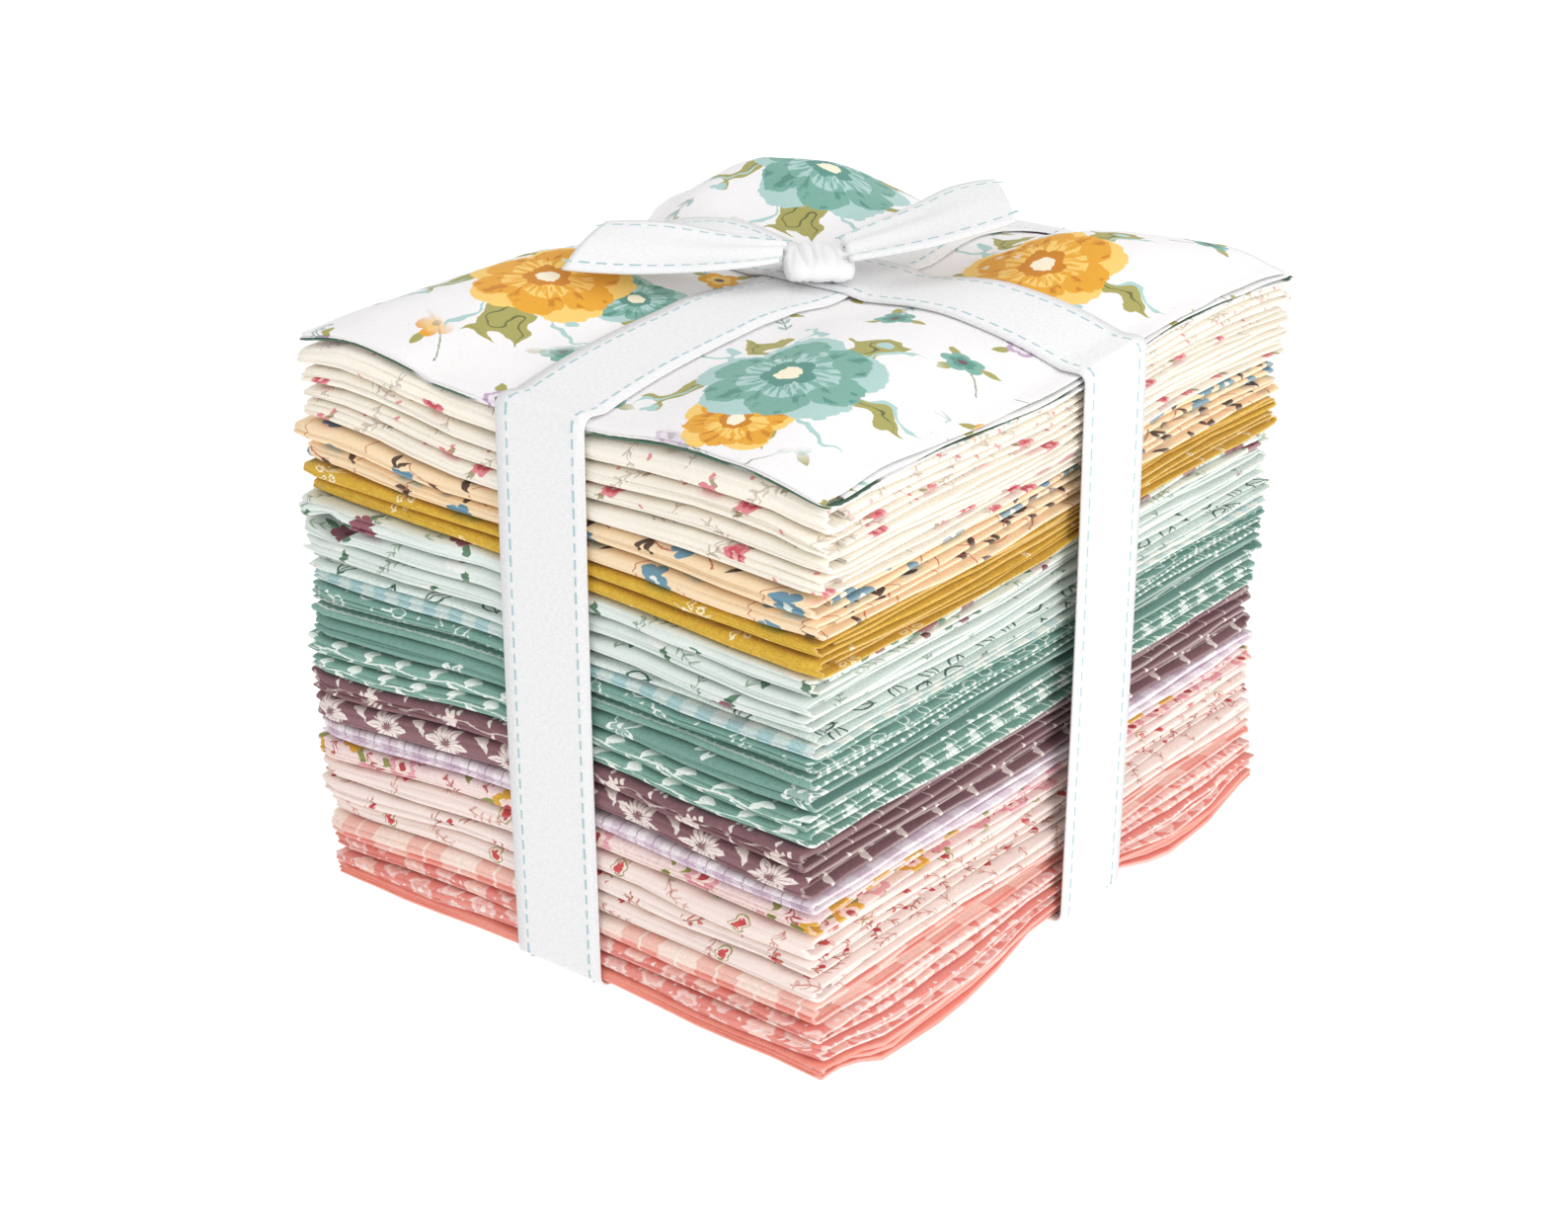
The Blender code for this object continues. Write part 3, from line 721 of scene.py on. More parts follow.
def paint_plum_vine(u, v):
    stem = soft(0.2 - abs(v.repeat(9.0, 0.5) - (u * 0.5).math("SINE") * 0.6))
    x, y, *_ = scatter(u, v + 4.5, 12.0, 9.0, 2.0, 10)
    r, angle = polar(x, y)
    cluster = petals(r, angle, 2.3, 6, 0.55, 0.0, 1.0)
    berries = leaves_round(r, angle, 5, 2.4, 1.6, 1.0)
    ink = (stem * 0.7 + cluster + berries).clamp()
    return ink.over(tint(132, 94, 100), tint(240, 226, 220))


lilac_gingham = cotton_print("lilac gingham cotton", paint_lilac_gingham)
plum_leaf = cotton_print("plum leaf cotton", paint_plum_leaf)
plum_vine = cotton_print("plum vine cotton", paint_plum_vine)
add_cotton("lilac_gingham", 0.0044, 0.0026, 0.0010, 0.0004, lilac_gingham)
add_cotton("plum_leaf", 0.0066, 0.0034, 0.0022, 0.0000, plum_leaf)
add_cotton("plum_vine", 0.0052, 0.0040, 0.0024, 0.0006, plum_vine)


# Teals
# Two teals with a vine of white crescent leaves, one nearly plain, one with rows of dots and one with
# small outlined buds.
def crescents(u, v, pitch, length, width, tilt):
    """Crescent leaves by turns above and below a stem that runs along u."""
    turn_by_turn = (u / pitch).math("FLOOR").math("MODULO", 2.0)
    x, y = turned(u.repeat(pitch) + length * 0.5, v * (abs(turn_by_turn) * 2.0 - 1.0), tilt)
    return leaf(x, y - x * (length - x) * (0.9 / length), length, width)


def paint_teal_vine(u, v):
    row = v.repeat(9.0, 0.5)
    bent = row - (u * 0.314).math("SINE") * 0.5
    leaves = crescents(u, bent, 5.2, 5.2, 2.4, 0.45)
    specks = soft(0.5 - polar(u.repeat(5.2), abs(row) - 3.9)[0])
    ink = (soft(0.2 - abs(bent)) + leaves + specks).clamp()
    return ink.over(tint(134, 174, 161), tint(242, 248, 242))


def paint_teal_plain(u, v):
    x, y, _, _, c = scatter(u, v, 24.0, 15.0, 8.0, 11)
    r, angle = polar(x, y)
    star = petals(r, angle + c * ANY_TURN, 4.6, 6, 0.6, 0.0, 1.2)
    hollow = petals(r, angle + c * ANY_TURN, 3.3, 6, 0.6, 0.0, 1.2)
    ink = (star - hollow * 0.8 + soft(0.6 - r)).clamp()
    return ink.over(tint(121, 161, 150), tint(238, 245, 240))


def paint_teal_dots(u, v):
    from_line = abs(v.repeat(12.0))
    line = soft(0.25 - abs(from_line - 1.0))
    ink = (dots(u, v, 2.6, 2.9, 0.2, 12, 0.62, 0.0) * soft(from_line - 1.4) + line * 0.8).clamp()
    return ink.over(tint(130, 170, 158), tint(242, 248, 242))


def paint_teal_sprig(u, v):
    x, y, _, _, c = scatter(u, v, 10.0, 8.0, 2.5, 13)
    x, y = turned(x, y, c * ANY_TURN)
    bud = leaf(x + 2.6, y, 5.2, 3.0) - leaf(x + 2.0, y, 4.0, 2.0)
    stem = soft(0.2 - abs(y)) * soft(1.8 - abs(x + 3.6))
    ink = (bud + stem + dots(u, v, 5.0, 4.0, 2.0, 14, 0.4) * 0.8).clamp()
    return ink.over(tint(132, 173, 161), tint(244, 250, 245))


teal_vine = cotton_print("teal vine cotton", paint_teal_vine, 0.75)
teal_plain = cotton_print("teal plain cotton", paint_teal_plain, 0.75)
teal_dots = cotton_print("teal dots cotton", paint_teal_dots)
teal_sprig = cotton_print("teal sprig cotton", paint_teal_sprig)
add_cotton("teal_vine_a", 0.0046, 0.0034, 0.0018, -0.0006, teal_vine)
add_cotton("teal_vine_b", 0.0044, 0.0040, 0.0022, 0.0004, teal_vine)
add_cotton("teal_plain", 0.0054, 0.0026, 0.0016, 0.0002, teal_plain)
add_cotton("teal_dots", 0.0036, 0.0030, 0.0010, -0.0004, teal_dots, ridge_in_front=False)
add_cotton("teal_sprig", 0.0036, 0.0026, 0.0012, 0.0004, teal_sprig)


# Mints
# A gingham of pale blue and cream, a mint with dark outlined leaves, and three near-white florals. The
# two upper florals stand a little apart at their left end.
def paint_mint_gingham(u, v):
    return checks(u, v, 8.0, 0.0, (241, 242, 234), (176, 208, 210))


def paint_mint_dark_motif(u, v):
    x, y, _, _, c = scatter(u, v, 15.0, 11.0, 5.0, 15)
    x, y = turned(x, y, c * ANY_TURN)
    vein = soft(0.2 - abs(y)) * soft(4.4 - abs(x))
    outline = leaf(x + 4.0, y, 8.0, 5.0) - leaf(x + 3.3, y, 6.6, 3.8) + vein
    return outline.clamp().over(tint(223, 234, 228), tint(66, 100, 88))


def paint_mint_floral(u, v):
    x, y, _, b, _ = scatter(u, v, 30.0, 22.0, 14.0, 16)
    r, angle = polar(x, y)
    flower = petals(r, angle, 4.2, 5, 0.3)
    stem, pair = twigs(u, v, 17, 21.0, 17.0)
    return printed(tint(229, 237, 232),
                   (leaves_round(r, angle, 3, 3.0, 4.6, 2.0), (100, 134, 110)),
                   (flower, (244, 244, 240)),
                   (flower * soft(b - 0.45, 0.01), (150, 92, 104)),
                   (soft(1.2 - r), (120, 64, 78)),
                   ((stem * 0.7 + pair * 0.8).clamp() * (1.0 - flower), (132, 156, 132)))


mint_gingham = cotton_print("mint gingham cotton", paint_mint_gingham)
mint_dark_motif = cotton_print("mint dark motif cotton", paint_mint_dark_motif)
mint_floral = cotton_print("mint floral cotton", paint_mint_floral, grain=0.14)
add_cotton("mint_gingham", 0.0032, 0.0024, 0.0006, 0.0006, mint_gingham)
add_cotton("mint_dark_motif", 0.0034, 0.0022, 0.0004, -0.0006, mint_dark_motif, ridge_in_front=False)
add_cotton("mint_floral_a", 0.0044, 0.0034, 0.0018, 0.0006, mint_floral)
add_cotton("mint_floral_b", 0.0046, 0.0028, 0.0020, 0.0000, mint_floral, (44, 18), 0.0030)
add_cotton("mint_floral_c", 0.0050, 0.0022, 0.0024, -0.0006, mint_floral, (44, 18), -0.0028)


# Mustards and peaches
# Two mustards with a few pale sprigs, and two peaches with blue blossoms and dark pairs of leaves.
def paint_mustard_sprig(u, v):
    x, y, *_ = scatter(u, v, 26.0, 14.0, 9.0, 18)
    r, angle = polar(x, y)
    sprig = leaves_round(r, angle, 5, 0.8, 3.2, 1.6) - leaves_round(r, angle, 5, 1.3, 2.0, 0.8)
    stem = soft(0.2 - abs(y - x * x * 0.05)) * soft(5.0 - abs(x))
    blotch = u.noise(u.vector(u, v, 7.0), 0.3, 3.0)
    ground = blotch.over(tint(200, 156, 40), tint(230, 190, 76))
    return printed(ground, ((sprig + stem * 0.6).clamp(), (250, 240, 206)))


def paint_peach_blossom(u, v):
    x, y, *_ = scatter(u, v, 27.0, 17.0, 9.0, 19)
    r, angle = polar(x, y)
    flower = petals(r, angle, 4.2, 5, 0.35)
    leaf_x, leaf_y, _, _, f = scatter(u, v, 19.0, 11.0, 7.0, 20)
    leaf_x, leaf_y = turned(leaf_x, leaf_y, f * ANY_TURN)
    arrow = leaf(leaf_x + 1.5, abs(leaf_y) - leaf_x * 0.45 - 0.6, 4.8, 1.8)
    return printed(tint(250, 224, 187),
                   (arrow * (1.0 - soft(4.6 - r)), (92, 72, 62)),
                   (flower, (112, 152, 172)),
                   (soft(1.1 - r), (232, 236, 230)),
                   (twigs(u, v, 21, 16.0, 12.0)[0] * (1.0 - flower), (196, 110, 84)))


mustard_sprig = cotton_print("mustard sprig cotton", paint_mustard_sprig, 0.40, 0.55)
peach_blossom = cotton_print("peach blossom cotton", paint_peach_blossom, grain=0.14)
add_cotton("mustard_sprig_a", 0.0040, 0.0004, 0.0004, 0.0006, mustard_sprig, grooved=0.3)
add_cotton("mustard_sprig_b", 0.0038, 0.0014, 0.0012, -0.0002, mustard_sprig, grooved=0.2)
add_cotton("peach_blossom_a", 0.0053, 0.0010, 0.0012, 0.0004, peach_blossom)
add_cotton("peach_blossom_b", 0.0056, 0.0024, 0.0022, -0.0004, peach_blossom)


# Creams
# Four of the same cream, with small red flowers on thin grey-brown stems with dark tips.
def paint_cream_sprig(u, v):
    stem, pair = twigs(u, v, 22, 17.0, 12.0)
    x, y, a, _, c = scatter(u, v, 24.0, 13.0, 13.0, 23)
    r, angle = polar(x, y)
    some = soft(a - 0.50, 0.01)
    speck_x, speck_y, d, *_ = scatter(u, v, 9.0, 7.0, 4.0, 31)
    speck = soft(0.55 - polar(speck_x, speck_y)[0]) * soft(d - 0.6, 0.01)
    return printed(tint(250, 243, 230),
                   (stem * 0.7, (186, 160, 142)),
                   (pair * 0.5, (160, 140, 120)),
                   (leaves_round(r, angle, 2, 1.8, 3.2, 1.5, 0.6) * some, (176, 160, 128)),
                   (petals(r, angle + c * ANY_TURN, 2.9, 5, 0.30) * some, (230, 142, 148)),
                   (petals(r, angle + c * (ANY_TURN / 2), 1.9, 4, 0.45, 0.8) * some, (206, 92, 104)),
                   (speck, (228, 150, 150)),
                   (soft(0.7 - r) * some, (240, 190, 186)))


cream_sprig = cotton_print("cream sprig cotton", paint_cream_sprig, grain=0.12)
add_cotton("cream_sprig_a", 0.0048, 0.0000, 0.0010, 0.0006, cream_sprig)
add_cotton("cream_sprig_b", 0.0044, -0.0006, 0.0006, -0.0004, cream_sprig)
add_cotton("cream_sprig_c", 0.0049, -0.0008, 0.0012, 0.0004, cream_sprig)
add_cotton("cream_sprig_d", 0.0060, -0.0004, 0.0016, -0.0004, cream_sprig)

# White floral
# The top cotton shows its whole print: large loose flowers in teal and mustard in a dropped repeat, with
# olive leaves, and small blossoms and rings strewn between them.
FLORAL_REPEAT = (84.0, 98.0)
TEALS = ((92, 146, 134), (124, 174, 160), (176, 208, 204))
GOLDS = ((206, 132, 30), (232, 166, 46), (248, 206, 112))
OLIVE = (170, 164, 96)
OLIVE_DEEP = (108, 112, 66)
LILAC = (198, 172, 200)


def big_flower(ground, x, y, radius, dark, middle, pale):
    """One large flower with three rounds of petals, streaked from its middle."""
    r, angle = polar(x, y)
    rough = r + (x.noise(x.vector(x, y, radius), 0.35, 3.0) - 0.5) * 3.2
    streak = x.noise(x.vector(angle * 5.0, r * 0.12, 2.0), 1.0, 2.0)
    inner = petals(rough, angle, radius * 0.55, 5, 0.25, 0.9)
    for mask, ink in (
            (petals(rough, angle, radius, 5, 0.30, 0.5), pale),
            (petals(rough, angle, radius * 0.88, 6, 0.30), middle),
            (soft(streak - 0.56, 0.06) * petals(rough, angle, radius * 0.84, 6, 0.3), dark),
            (inner, pale),
            (soft(streak - 0.50, 0.06) * inner, middle),
            (petals(rough, angle, radius * 0.30, 5, 0.25), dark)):
        ground = mask.over(ground, ink)
    return soft(radius * 0.14 - rough).over(ground, tint(250, 240, 214))


def paint_white_floral(u, v):
    x, y, _, _, c = scatter(u + 84.0, v + 1.0, *FLORAL_REPEAT, 8.0, 24, 0.153)
    r, angle = polar(x, y)
    apart = 1.0 - soft(33.0 - r, 6.0)
    small_x, small_y, d, _, f = scatter(u + 5.0, v, 25.0, 27.0, 9.0, 25)
    small_r, small_angle = polar(small_x, small_y)
    spot = small_angle + f * ANY_TURN
    twig_x, twig_y = turned(small_x, small_y, f * ANY_TURN)
    bend = twig_y - twig_x * twig_x * 0.03
    step = ((twig_x / 3.2).math("FRACT") - 0.2) * 3.2
    blades = leaf(step, abs(bend) - step * 0.7, 2.8, 1.3) * soft(6.5 - abs(twig_x + 5.0))
    is_ring = soft(0.36 - d, 0.01)
    is_teal = soft(d - 0.36, 0.01) * soft(0.74 - d, 0.01)
    is_gold = soft(d - 0.74, 0.01)
    blossom = petals(small_r, spot, 5.0, 5, 0.36)
    heart = petals(small_r, spot, 3.0, 5, 0.36)
    strewn = (
        (soft(0.22 - abs(bend)) * soft(8.0 - abs(twig_x + 4.0)), (150, 160, 140)),
        (blades * soft(f - 0.45, 0.01), (168, 190, 194)),
        (leaves_round(small_r, spot, 3, 3.4, 5.0, 2.6), OLIVE),
        (blossom * is_teal, TEALS[1]),
        (heart * is_teal, TEALS[0]),
        (petals(small_r, spot, 4.4, 6, 0.30) * is_ring, LILAC),
        (petals(small_r, spot, 3.0, 6, 0.25) * is_ring, (244, 238, 242)),
        (blossom * is_gold, GOLDS[1]),
        (heart * is_gold, GOLDS[2]),
        (soft(1.1 - small_r), (112, 84, 92)),
    )
    ground = printed(tint(243, 241, 241), *[(mask * apart, ink) for mask, ink in strewn])

    # A broken dark green line along the front and side fold edges: partly print, partly painted shade under
    # the edge.
    along_edge = u.noise(u.vector(u, v, 4.0), 0.045, 1.0)
    front_line = soft(0.50 - abs(v + 0.9)) * soft(along_edge - 0.42, 0.05)
    side_line = soft(0.8 - abs(u - 75.9)) * soft(along_edge - 0.45, 0.05)
    bearing = angle + x.noise(x.vector(x, y, 9.0), 0.12, 1.0) * 1.2
    ground = printed(ground,
                     ((front_line + side_line).clamp(), (78, 112, 92)),
                     (leaves_round(r, bearing, 5, 14.0, 17.0, 9.0), OLIVE),
                     (leaves_round(r, bearing, 5, 14.0, 16.0, 0.8), OLIVE_DEEP),
                     (leaves_round(r, bearing, 7, 18.0, 15.0, 2.6, 0.5), TEALS[2]))
    golden = 1.0 - abs(soft(u, 0.01) - soft(v - 97.0, 0.01))
    main_inks = [golden.over(tint(*teal), tint(*gold)) for teal, gold in zip(TEALS, GOLDS)]
    side_inks = [golden.over(tint(*gold), tint(*teal)) for teal, gold in zip(TEALS, GOLDS)]
    side_x, side_y = turned(x, y, c * ANY_TURN)
    ground = big_flower(ground, side_x - 21.0, side_y, 12.5, *side_inks)
    return big_flower(ground, x, y, 21.0 - golden, *main_inks)


white_floral = cotton_print("white floral cotton", paint_white_floral, grain=0.10)
add_cotton("white_floral", 0.0036, -0.0008, 0.0008, 0.0004, white_floral, (34, 40))


# Ribbon bands
# One length of woven ribbon, an inch wide, is tied round the stack both ways. It lies tight on the
# cloth, stands a little off its sides, and has a running stitch inside each of its edges.
RIBBON_WIDTH = 0.025
RIBBON_THICKNESS = 0.0005
RIBBON_GAP = 0.00025
BAND_EASE = 0.0006
BAND_COLUMNS = 8
OVER_ROUND = 0.0024
UNDER_ROUND = 0.0027
SIDE_ROUND = 0.0020
LEFT_STANDS_OFF = (0.0012, 0.0040, 0.0014)
LEFT_BENDS = (0.80, 0.16)
ROOM_UNDER = 0.0003
UNDER_GAP = 0.00035
TOP_ROUND_DROP = 0.0018
LOW_ROUND_RISE = 0.0021
CROSSING_EASE = 0.003
STITCH_PITCH = 0.0038
STITCH_SIZE = (0.0024, 0.0006, 0.00014)


def ribbon_weave():
    """White woven ribbon: fine ribs both ways, a little mottled, with a firmer selvedge."""
    material, shader = new_material("ribbon weave", {"Roughness": 0.55, "Specular IOR Level": 0.3,
                                                     "Sheen Weight": 0.15})
    u, v = place_on_cut(material)
    threads = u.noise(u.vector(u * 0.6, v * 2.4, 0.0), 1.2, 2.0)
    crossing = u.noise(u.vector(u * 2.4, v * 0.6, 5.0), 1.2, 2.0)
    mottle = (threads + crossing - 1.0) * 0.20 + 0.985
    shaded = u.node("ShaderNodeVectorMath", {"operation": "SCALE"},
                    {0: tint(241, 241, 242)[:3], "Scale": mottle})
    ribs = (u * 9.0).math("SINE") * (v * 9.0).math("SINE")
    relief = ribs * 0.5 + (threads + crossing) * 1.4 + soft(abs(u) - 11.6, 0.3) * 0.8
    finish_cloth(shader, shaded, relief, 0.35, 0.00014)
    return material


ribbon_white = ribbon_weave()
thread_grey, _ = new_material("stitch thread", {"Base Color": tint(172, 200, 204), "Roughness": 0.6,
                                                "Sheen Weight": 0.2})


def running_stitch():
    """Stitches laid along a line at an even pitch, each turned to its line and to the ribbon's face."""
    tree = bpy.data.node_groups.new("Running stitch", "GeometryNodeTree")
    tree.interface.new_socket("Line", in_out="INPUT", socket_type="NodeSocketGeometry")
    for name in ("Pitch", "Length", "Width", "Height"):
        tree.interface.new_socket(name, in_out="INPUT", socket_type="NodeSocketFloat")
    tree.interface.new_socket("Thread", in_out="INPUT", socket_type="NodeSocketMaterial")
    tree.interface.new_socket("Stitches", in_out="OUTPUT", socket_type="NodeSocketGeometry")
    given = Shade(tree).node("NodeGroupInput")
    curve = given.node("GeometryNodeMeshToCurve", None, {0: given.out("Line")})
    points = given.node("GeometryNodeResampleCurve", {"mode": "LENGTH"},
                        {"Curve": curve, "Length": given.out("Pitch")})
    out = given.node("GeometryNodeInputNamedAttribute", {"data_type": "FLOAT_VECTOR"}, {"Name": "out"})
    along = given.node("GeometryNodeInputTangent")
    facing = given.node("FunctionNodeAxesToRotation", {"primary_axis": "Z", "secondary_axis": "X"},
                        {0: out, 1: along})
    size = given.node("ShaderNodeCombineXYZ", None,
                      {0: given.out("Length"), 1: given.out("Width"), 2: given.out("Height")})
    stitch = given.node("GeometryNodeMeshCube", None, {"Size": size})
    uneven = given.node("FunctionNodeRandomValue", {"data_type": "FLOAT"}, {2: 0.84, 3: 1.08, "Seed": 7}, 1)
    laid = given.node("GeometryNodeInstanceOnPoints", None,
                      {"Points": points, "Instance": stitch, "Rotation": facing, "Scale": uneven})
    real = given.node("GeometryNodeRealizeInstances", None, {0: laid})
    dyed = given.node("GeometryNodeSetMaterial", None, {0: real, "Material": given.out("Thread")})
    given.node("NodeGroupOutput", None, {0: dyed})
    return tree


STITCHING = running_stitch()


def finish_ribbon(draft, name):
    """Make a plain piece of the ribbon from a draft with its modifier."""
    evaluated = draft.evaluated_get(bpy.context.evaluated_depsgraph_get())
    piece = lay(name, bpy.data.meshes.new_from_object(evaluated))
    bpy.data.objects.remove(draft)
    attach(piece, "root")
    return piece


def sew(name, grid, closed):
    """A running stitch inside both edges of a ribbon, on the face of it that shows."""
    points, ways, edges = [], [], []
    count = len(grid)
    last = len(grid[0]) - 1
    for column in (last // 8, last - last // 8):
        first = len(points)
        for i in range(count):
            before = grid[i - 1] if closed or i else grid[0]
            after = grid[(i + 1) % count] if closed else grid[min(count - 1, i + 1)]
            along = Vector(after[column]) - Vector(before[column])
            width = Vector(grid[i][column + 1]) - Vector(grid[i][column - 1])
            out = width.cross(along).normalized()
            points.append(Vector(grid[i][column]) + out * (RIBBON_THICKNESS - 0.00002))
            ways.append(out)
            if i:
                edges.append((first + i - 1, first + i))
        if closed:
            edges.append((first + count - 1, first))
    lines = bpy.data.meshes.new(name)
    lines.from_pydata(points, edges, [])
    lines.attributes.new("out", "FLOAT_VECTOR", "POINT").data.foreach_set("vector", np.array(ways).ravel())
    draft = lay(name + "_lines", lines)
    modifier = draft.modifiers.new("Stitches", "NODES")
    modifier.node_group = STITCHING
    wanted = {"Pitch": STITCH_PITCH, "Length": STITCH_SIZE[0], "Width": STITCH_SIZE[1],
              "Height": STITCH_SIZE[2], "Thread": thread_grey}
    for item in STITCHING.interface.items_tree:
        if item.name in wanted:
            modifier[item.identifier] = wanted[item.name]
    return finish_ribbon(draft, name)


def arc(centre, radius, start, end, steps=5):
    """Points on a round corner of a band, both ends included."""
    angles = np.radians(np.linspace(start, end, steps + 1))
    return [(centre[0] + radius * math.cos(a), centre[1] + radius * math.sin(a)) for a in angles]


def straight(start, end, steps, bow=0.0):
    """Points between two corners of a band, both left out, standing off by a little bow."""
    shares = np.linspace(0.0, 1.0, steps + 1)[1:-1]
    return [(start[0] + (end[0] - start[0]) * t + bow * math.sin(math.pi * t),
             start[1] + (end[1] - start[1]) * t) for t in shares]


def long_loop(across):
    """The band from front to back at one place across it, as (y, z), from under the stack upwards."""
    across = np.array(across)
    edge = DEPTH / 2 + BAND_EASE
    over_back = float(level(STACK, across, np.array(REACH[1]))) - TOP_ROUND_DROP
    over_front = float(level(STACK, across, np.array(-REACH[1]))) - TOP_ROUND_DROP
    under = float(level(0.0, across, np.array(REACH[1]))) + LOW_ROUND_RISE
    loop = [(y, RIBBON_THICKNESS + ROOM_UNDER) for y in np.linspace(-0.066, 0.066, 12)]
    loop += arc((edge - UNDER_ROUND, under), UNDER_ROUND, -90, 0)
    loop += straight((edge, under), (edge, over_back), 16)
    loop += arc((edge - OVER_ROUND, over_back), OVER_ROUND, 0, 90)
    for y in np.linspace(REACH[1], -REACH[1], 60):
        loop.append((y, float(level(STACK, across, np.array(y))) + RIBBON_GAP))
    loop += arc((OVER_ROUND - edge, over_front), OVER_ROUND, 90, 180)
    loop += straight((-edge, over_front), (-edge, under), 16, -0.0005)
    loop += arc((UNDER_ROUND - edge, under), UNDER_ROUND, 180, 270)
    return loop


def short_loop(across):
    """The band round the sides at one place across it, as (x, z), over the long band where they cross."""
    y = np.array(RIBBON_Y + across)
    under = [(x, float(level(0.0, np.array(x), y)) - UNDER_GAP) for x in np.linspace(-0.068, 0.068, 24)]
    over = []
    for x in np.linspace(0.0705, -0.0705, 56):
        beside = float(ease(RIBBON_WIDTH / 2, RIBBON_WIDTH / 2 + CROSSING_EASE, abs(x)))
        raised = (RIBBON_THICKNESS + ROOM_UNDER) * (1.0 - beside)
        over.append((x, float(level(STACK, np.array(x), y)) + RIBBON_GAP + raised))
    low = under[0][1] + SIDE_ROUND
    low_right = under[-1][1] + SIDE_ROUND
    high = over[-1][1] - SIDE_ROUND
    high_right = over[0][1] - SIDE_ROUND
    right = WIDTH / 2 + BAND_EASE
    left_low, left_middle, left_high = [-WIDTH / 2 - off - BAND_EASE for off in LEFT_STANDS_OFF]
    upper, lower = [(left_middle, CORNER_LIFT + STACK * share) for share in LEFT_BENDS]
    loop = under
    loop += arc((right - SIDE_ROUND, low_right), SIDE_ROUND, -90, 0)
    loop += straight((right, low_right), (right, high_right), 16, 0.0004)
    loop += arc((right - SIDE_ROUND, high_right), SIDE_ROUND, 0, 90)
    loop += over
    loop += arc((left_high + SIDE_ROUND, high), SIDE_ROUND, 90, 180)
    loop += straight((left_high, high), upper, 5) + [upper]
    loop += straight(upper, lower, 9) + [lower]
    loop += straight(lower, (left_low, low), 5)
    loop += arc((left_low + SIDE_ROUND, low), SIDE_ROUND, 180, 270)
    return loop


def weave_ribbon(name, grid, closed):
    """A ribbon through rows of points, with its length and width in metres as a UV map."""
    strip = bmesh.new()
    rows = [[strip.verts.new(point) for point in row] for row in grid]
    middle = len(grid[0]) // 2
    run = [0.0]
    pairs = list(zip(grid, grid[1:] + grid[:1])) if closed else list(zip(grid, grid[1:]))
    for first, second in pairs:
        run.append(run[-1] + (Vector(second[middle]) - Vector(first[middle])).length)
    uv = strip.loops.layers.uv.new("Cut")
    widths = np.linspace(-RIBBON_WIDTH / 2, RIBBON_WIDTH / 2, len(grid[0]))
    for i in range(len(pairs)):
        row = rows[i]
        following = rows[(i + 1) % len(rows)]
        for j in range(len(row) - 1):
            face = strip.faces.new((row[j], row[j + 1], following[j + 1], following[j]))
            places = ((j, i), (j + 1, i), (j + 1, i + 1), (j, i + 1))
            for loop, (column, station) in zip(face.loops, places):
                loop[uv].uv = (widths[column], run[station])
    mesh = bpy.data.meshes.new(name)
    strip.to_mesh(mesh)
    strip.free()
    mesh.shade_smooth()
    mesh.materials.append(ribbon_white)
    draft = lay(name + "_draft", mesh)
    solidify = draft.modifiers.new("Thickness", "SOLIDIFY")
    solidify.thickness = RIBBON_THICKNESS
    solidify.offset = 1.0
    solidify.use_even_offset = True
    return finish_ribbon(draft, name)


def add_ribbon(node, grid, closed):
    """Weave and stitch one run of the ribbon."""
    cloth = weave_ribbon(f"{node}_cloth", grid, closed)
    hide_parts(node)
    stitches = sew(f"{node}_stitches", grid, closed)


columns = np.linspace(-RIBBON_WIDTH / 2, RIBBON_WIDTH / 2, BAND_COLUMNS + 1)
long_grid = [[(across, *point) for across, point in zip(columns, row)][::-1]
             for row in zip(*[long_loop(across) for across in columns])]
short_grid = [[(x, RIBBON_Y + across, z) for across, (x, z) in zip(columns, row)]
              for row in zip(*[short_loop(across) for across in columns])]
add_ribbon("ribbon_long_band", long_grid, True)
add_ribbon("ribbon_short_band", short_grid, True)

# Knot
# Both ends are pulled up through one snug wrap of the same ribbon, gathered to half its width, with
# short pleats pinched in at the front where it turns under.
KNOT_CENTRE = (-0.0007, 0.0017)
KNOT_TURN = math.radians(41.0)
KNOT_HALF = (0.0082, 0.0116, 0.0033)
KNOT_STEPS = 48
KNOT_ROUNDNESS = 0.84
KNOT_HEIGHT = float(level(STACK, np.array(KNOT_CENTRE[0]), np.array(KNOT_CENTRE[1]))) + 0.0045
KNOT_PLEATS = (
    # place across the wrap, width and depth of the pleat as shares of the half width and height
    (-0.74, 0.07, 0.16),
    (-0.46, 0.06, 0.26),
    (-0.22, 0.05, 0.22),
    (0.12, 0.08, 0.12),
    (0.40, 0.06, 0.18),
    (0.70, 0.08, 0.12),
)
knot_place = Matrix.Translation((*KNOT_CENTRE, KNOT_HEIGHT)) @ Matrix.Rotation(KNOT_TURN, 4, "Z")
knot_shape = bmesh.new()
knot_rings = []
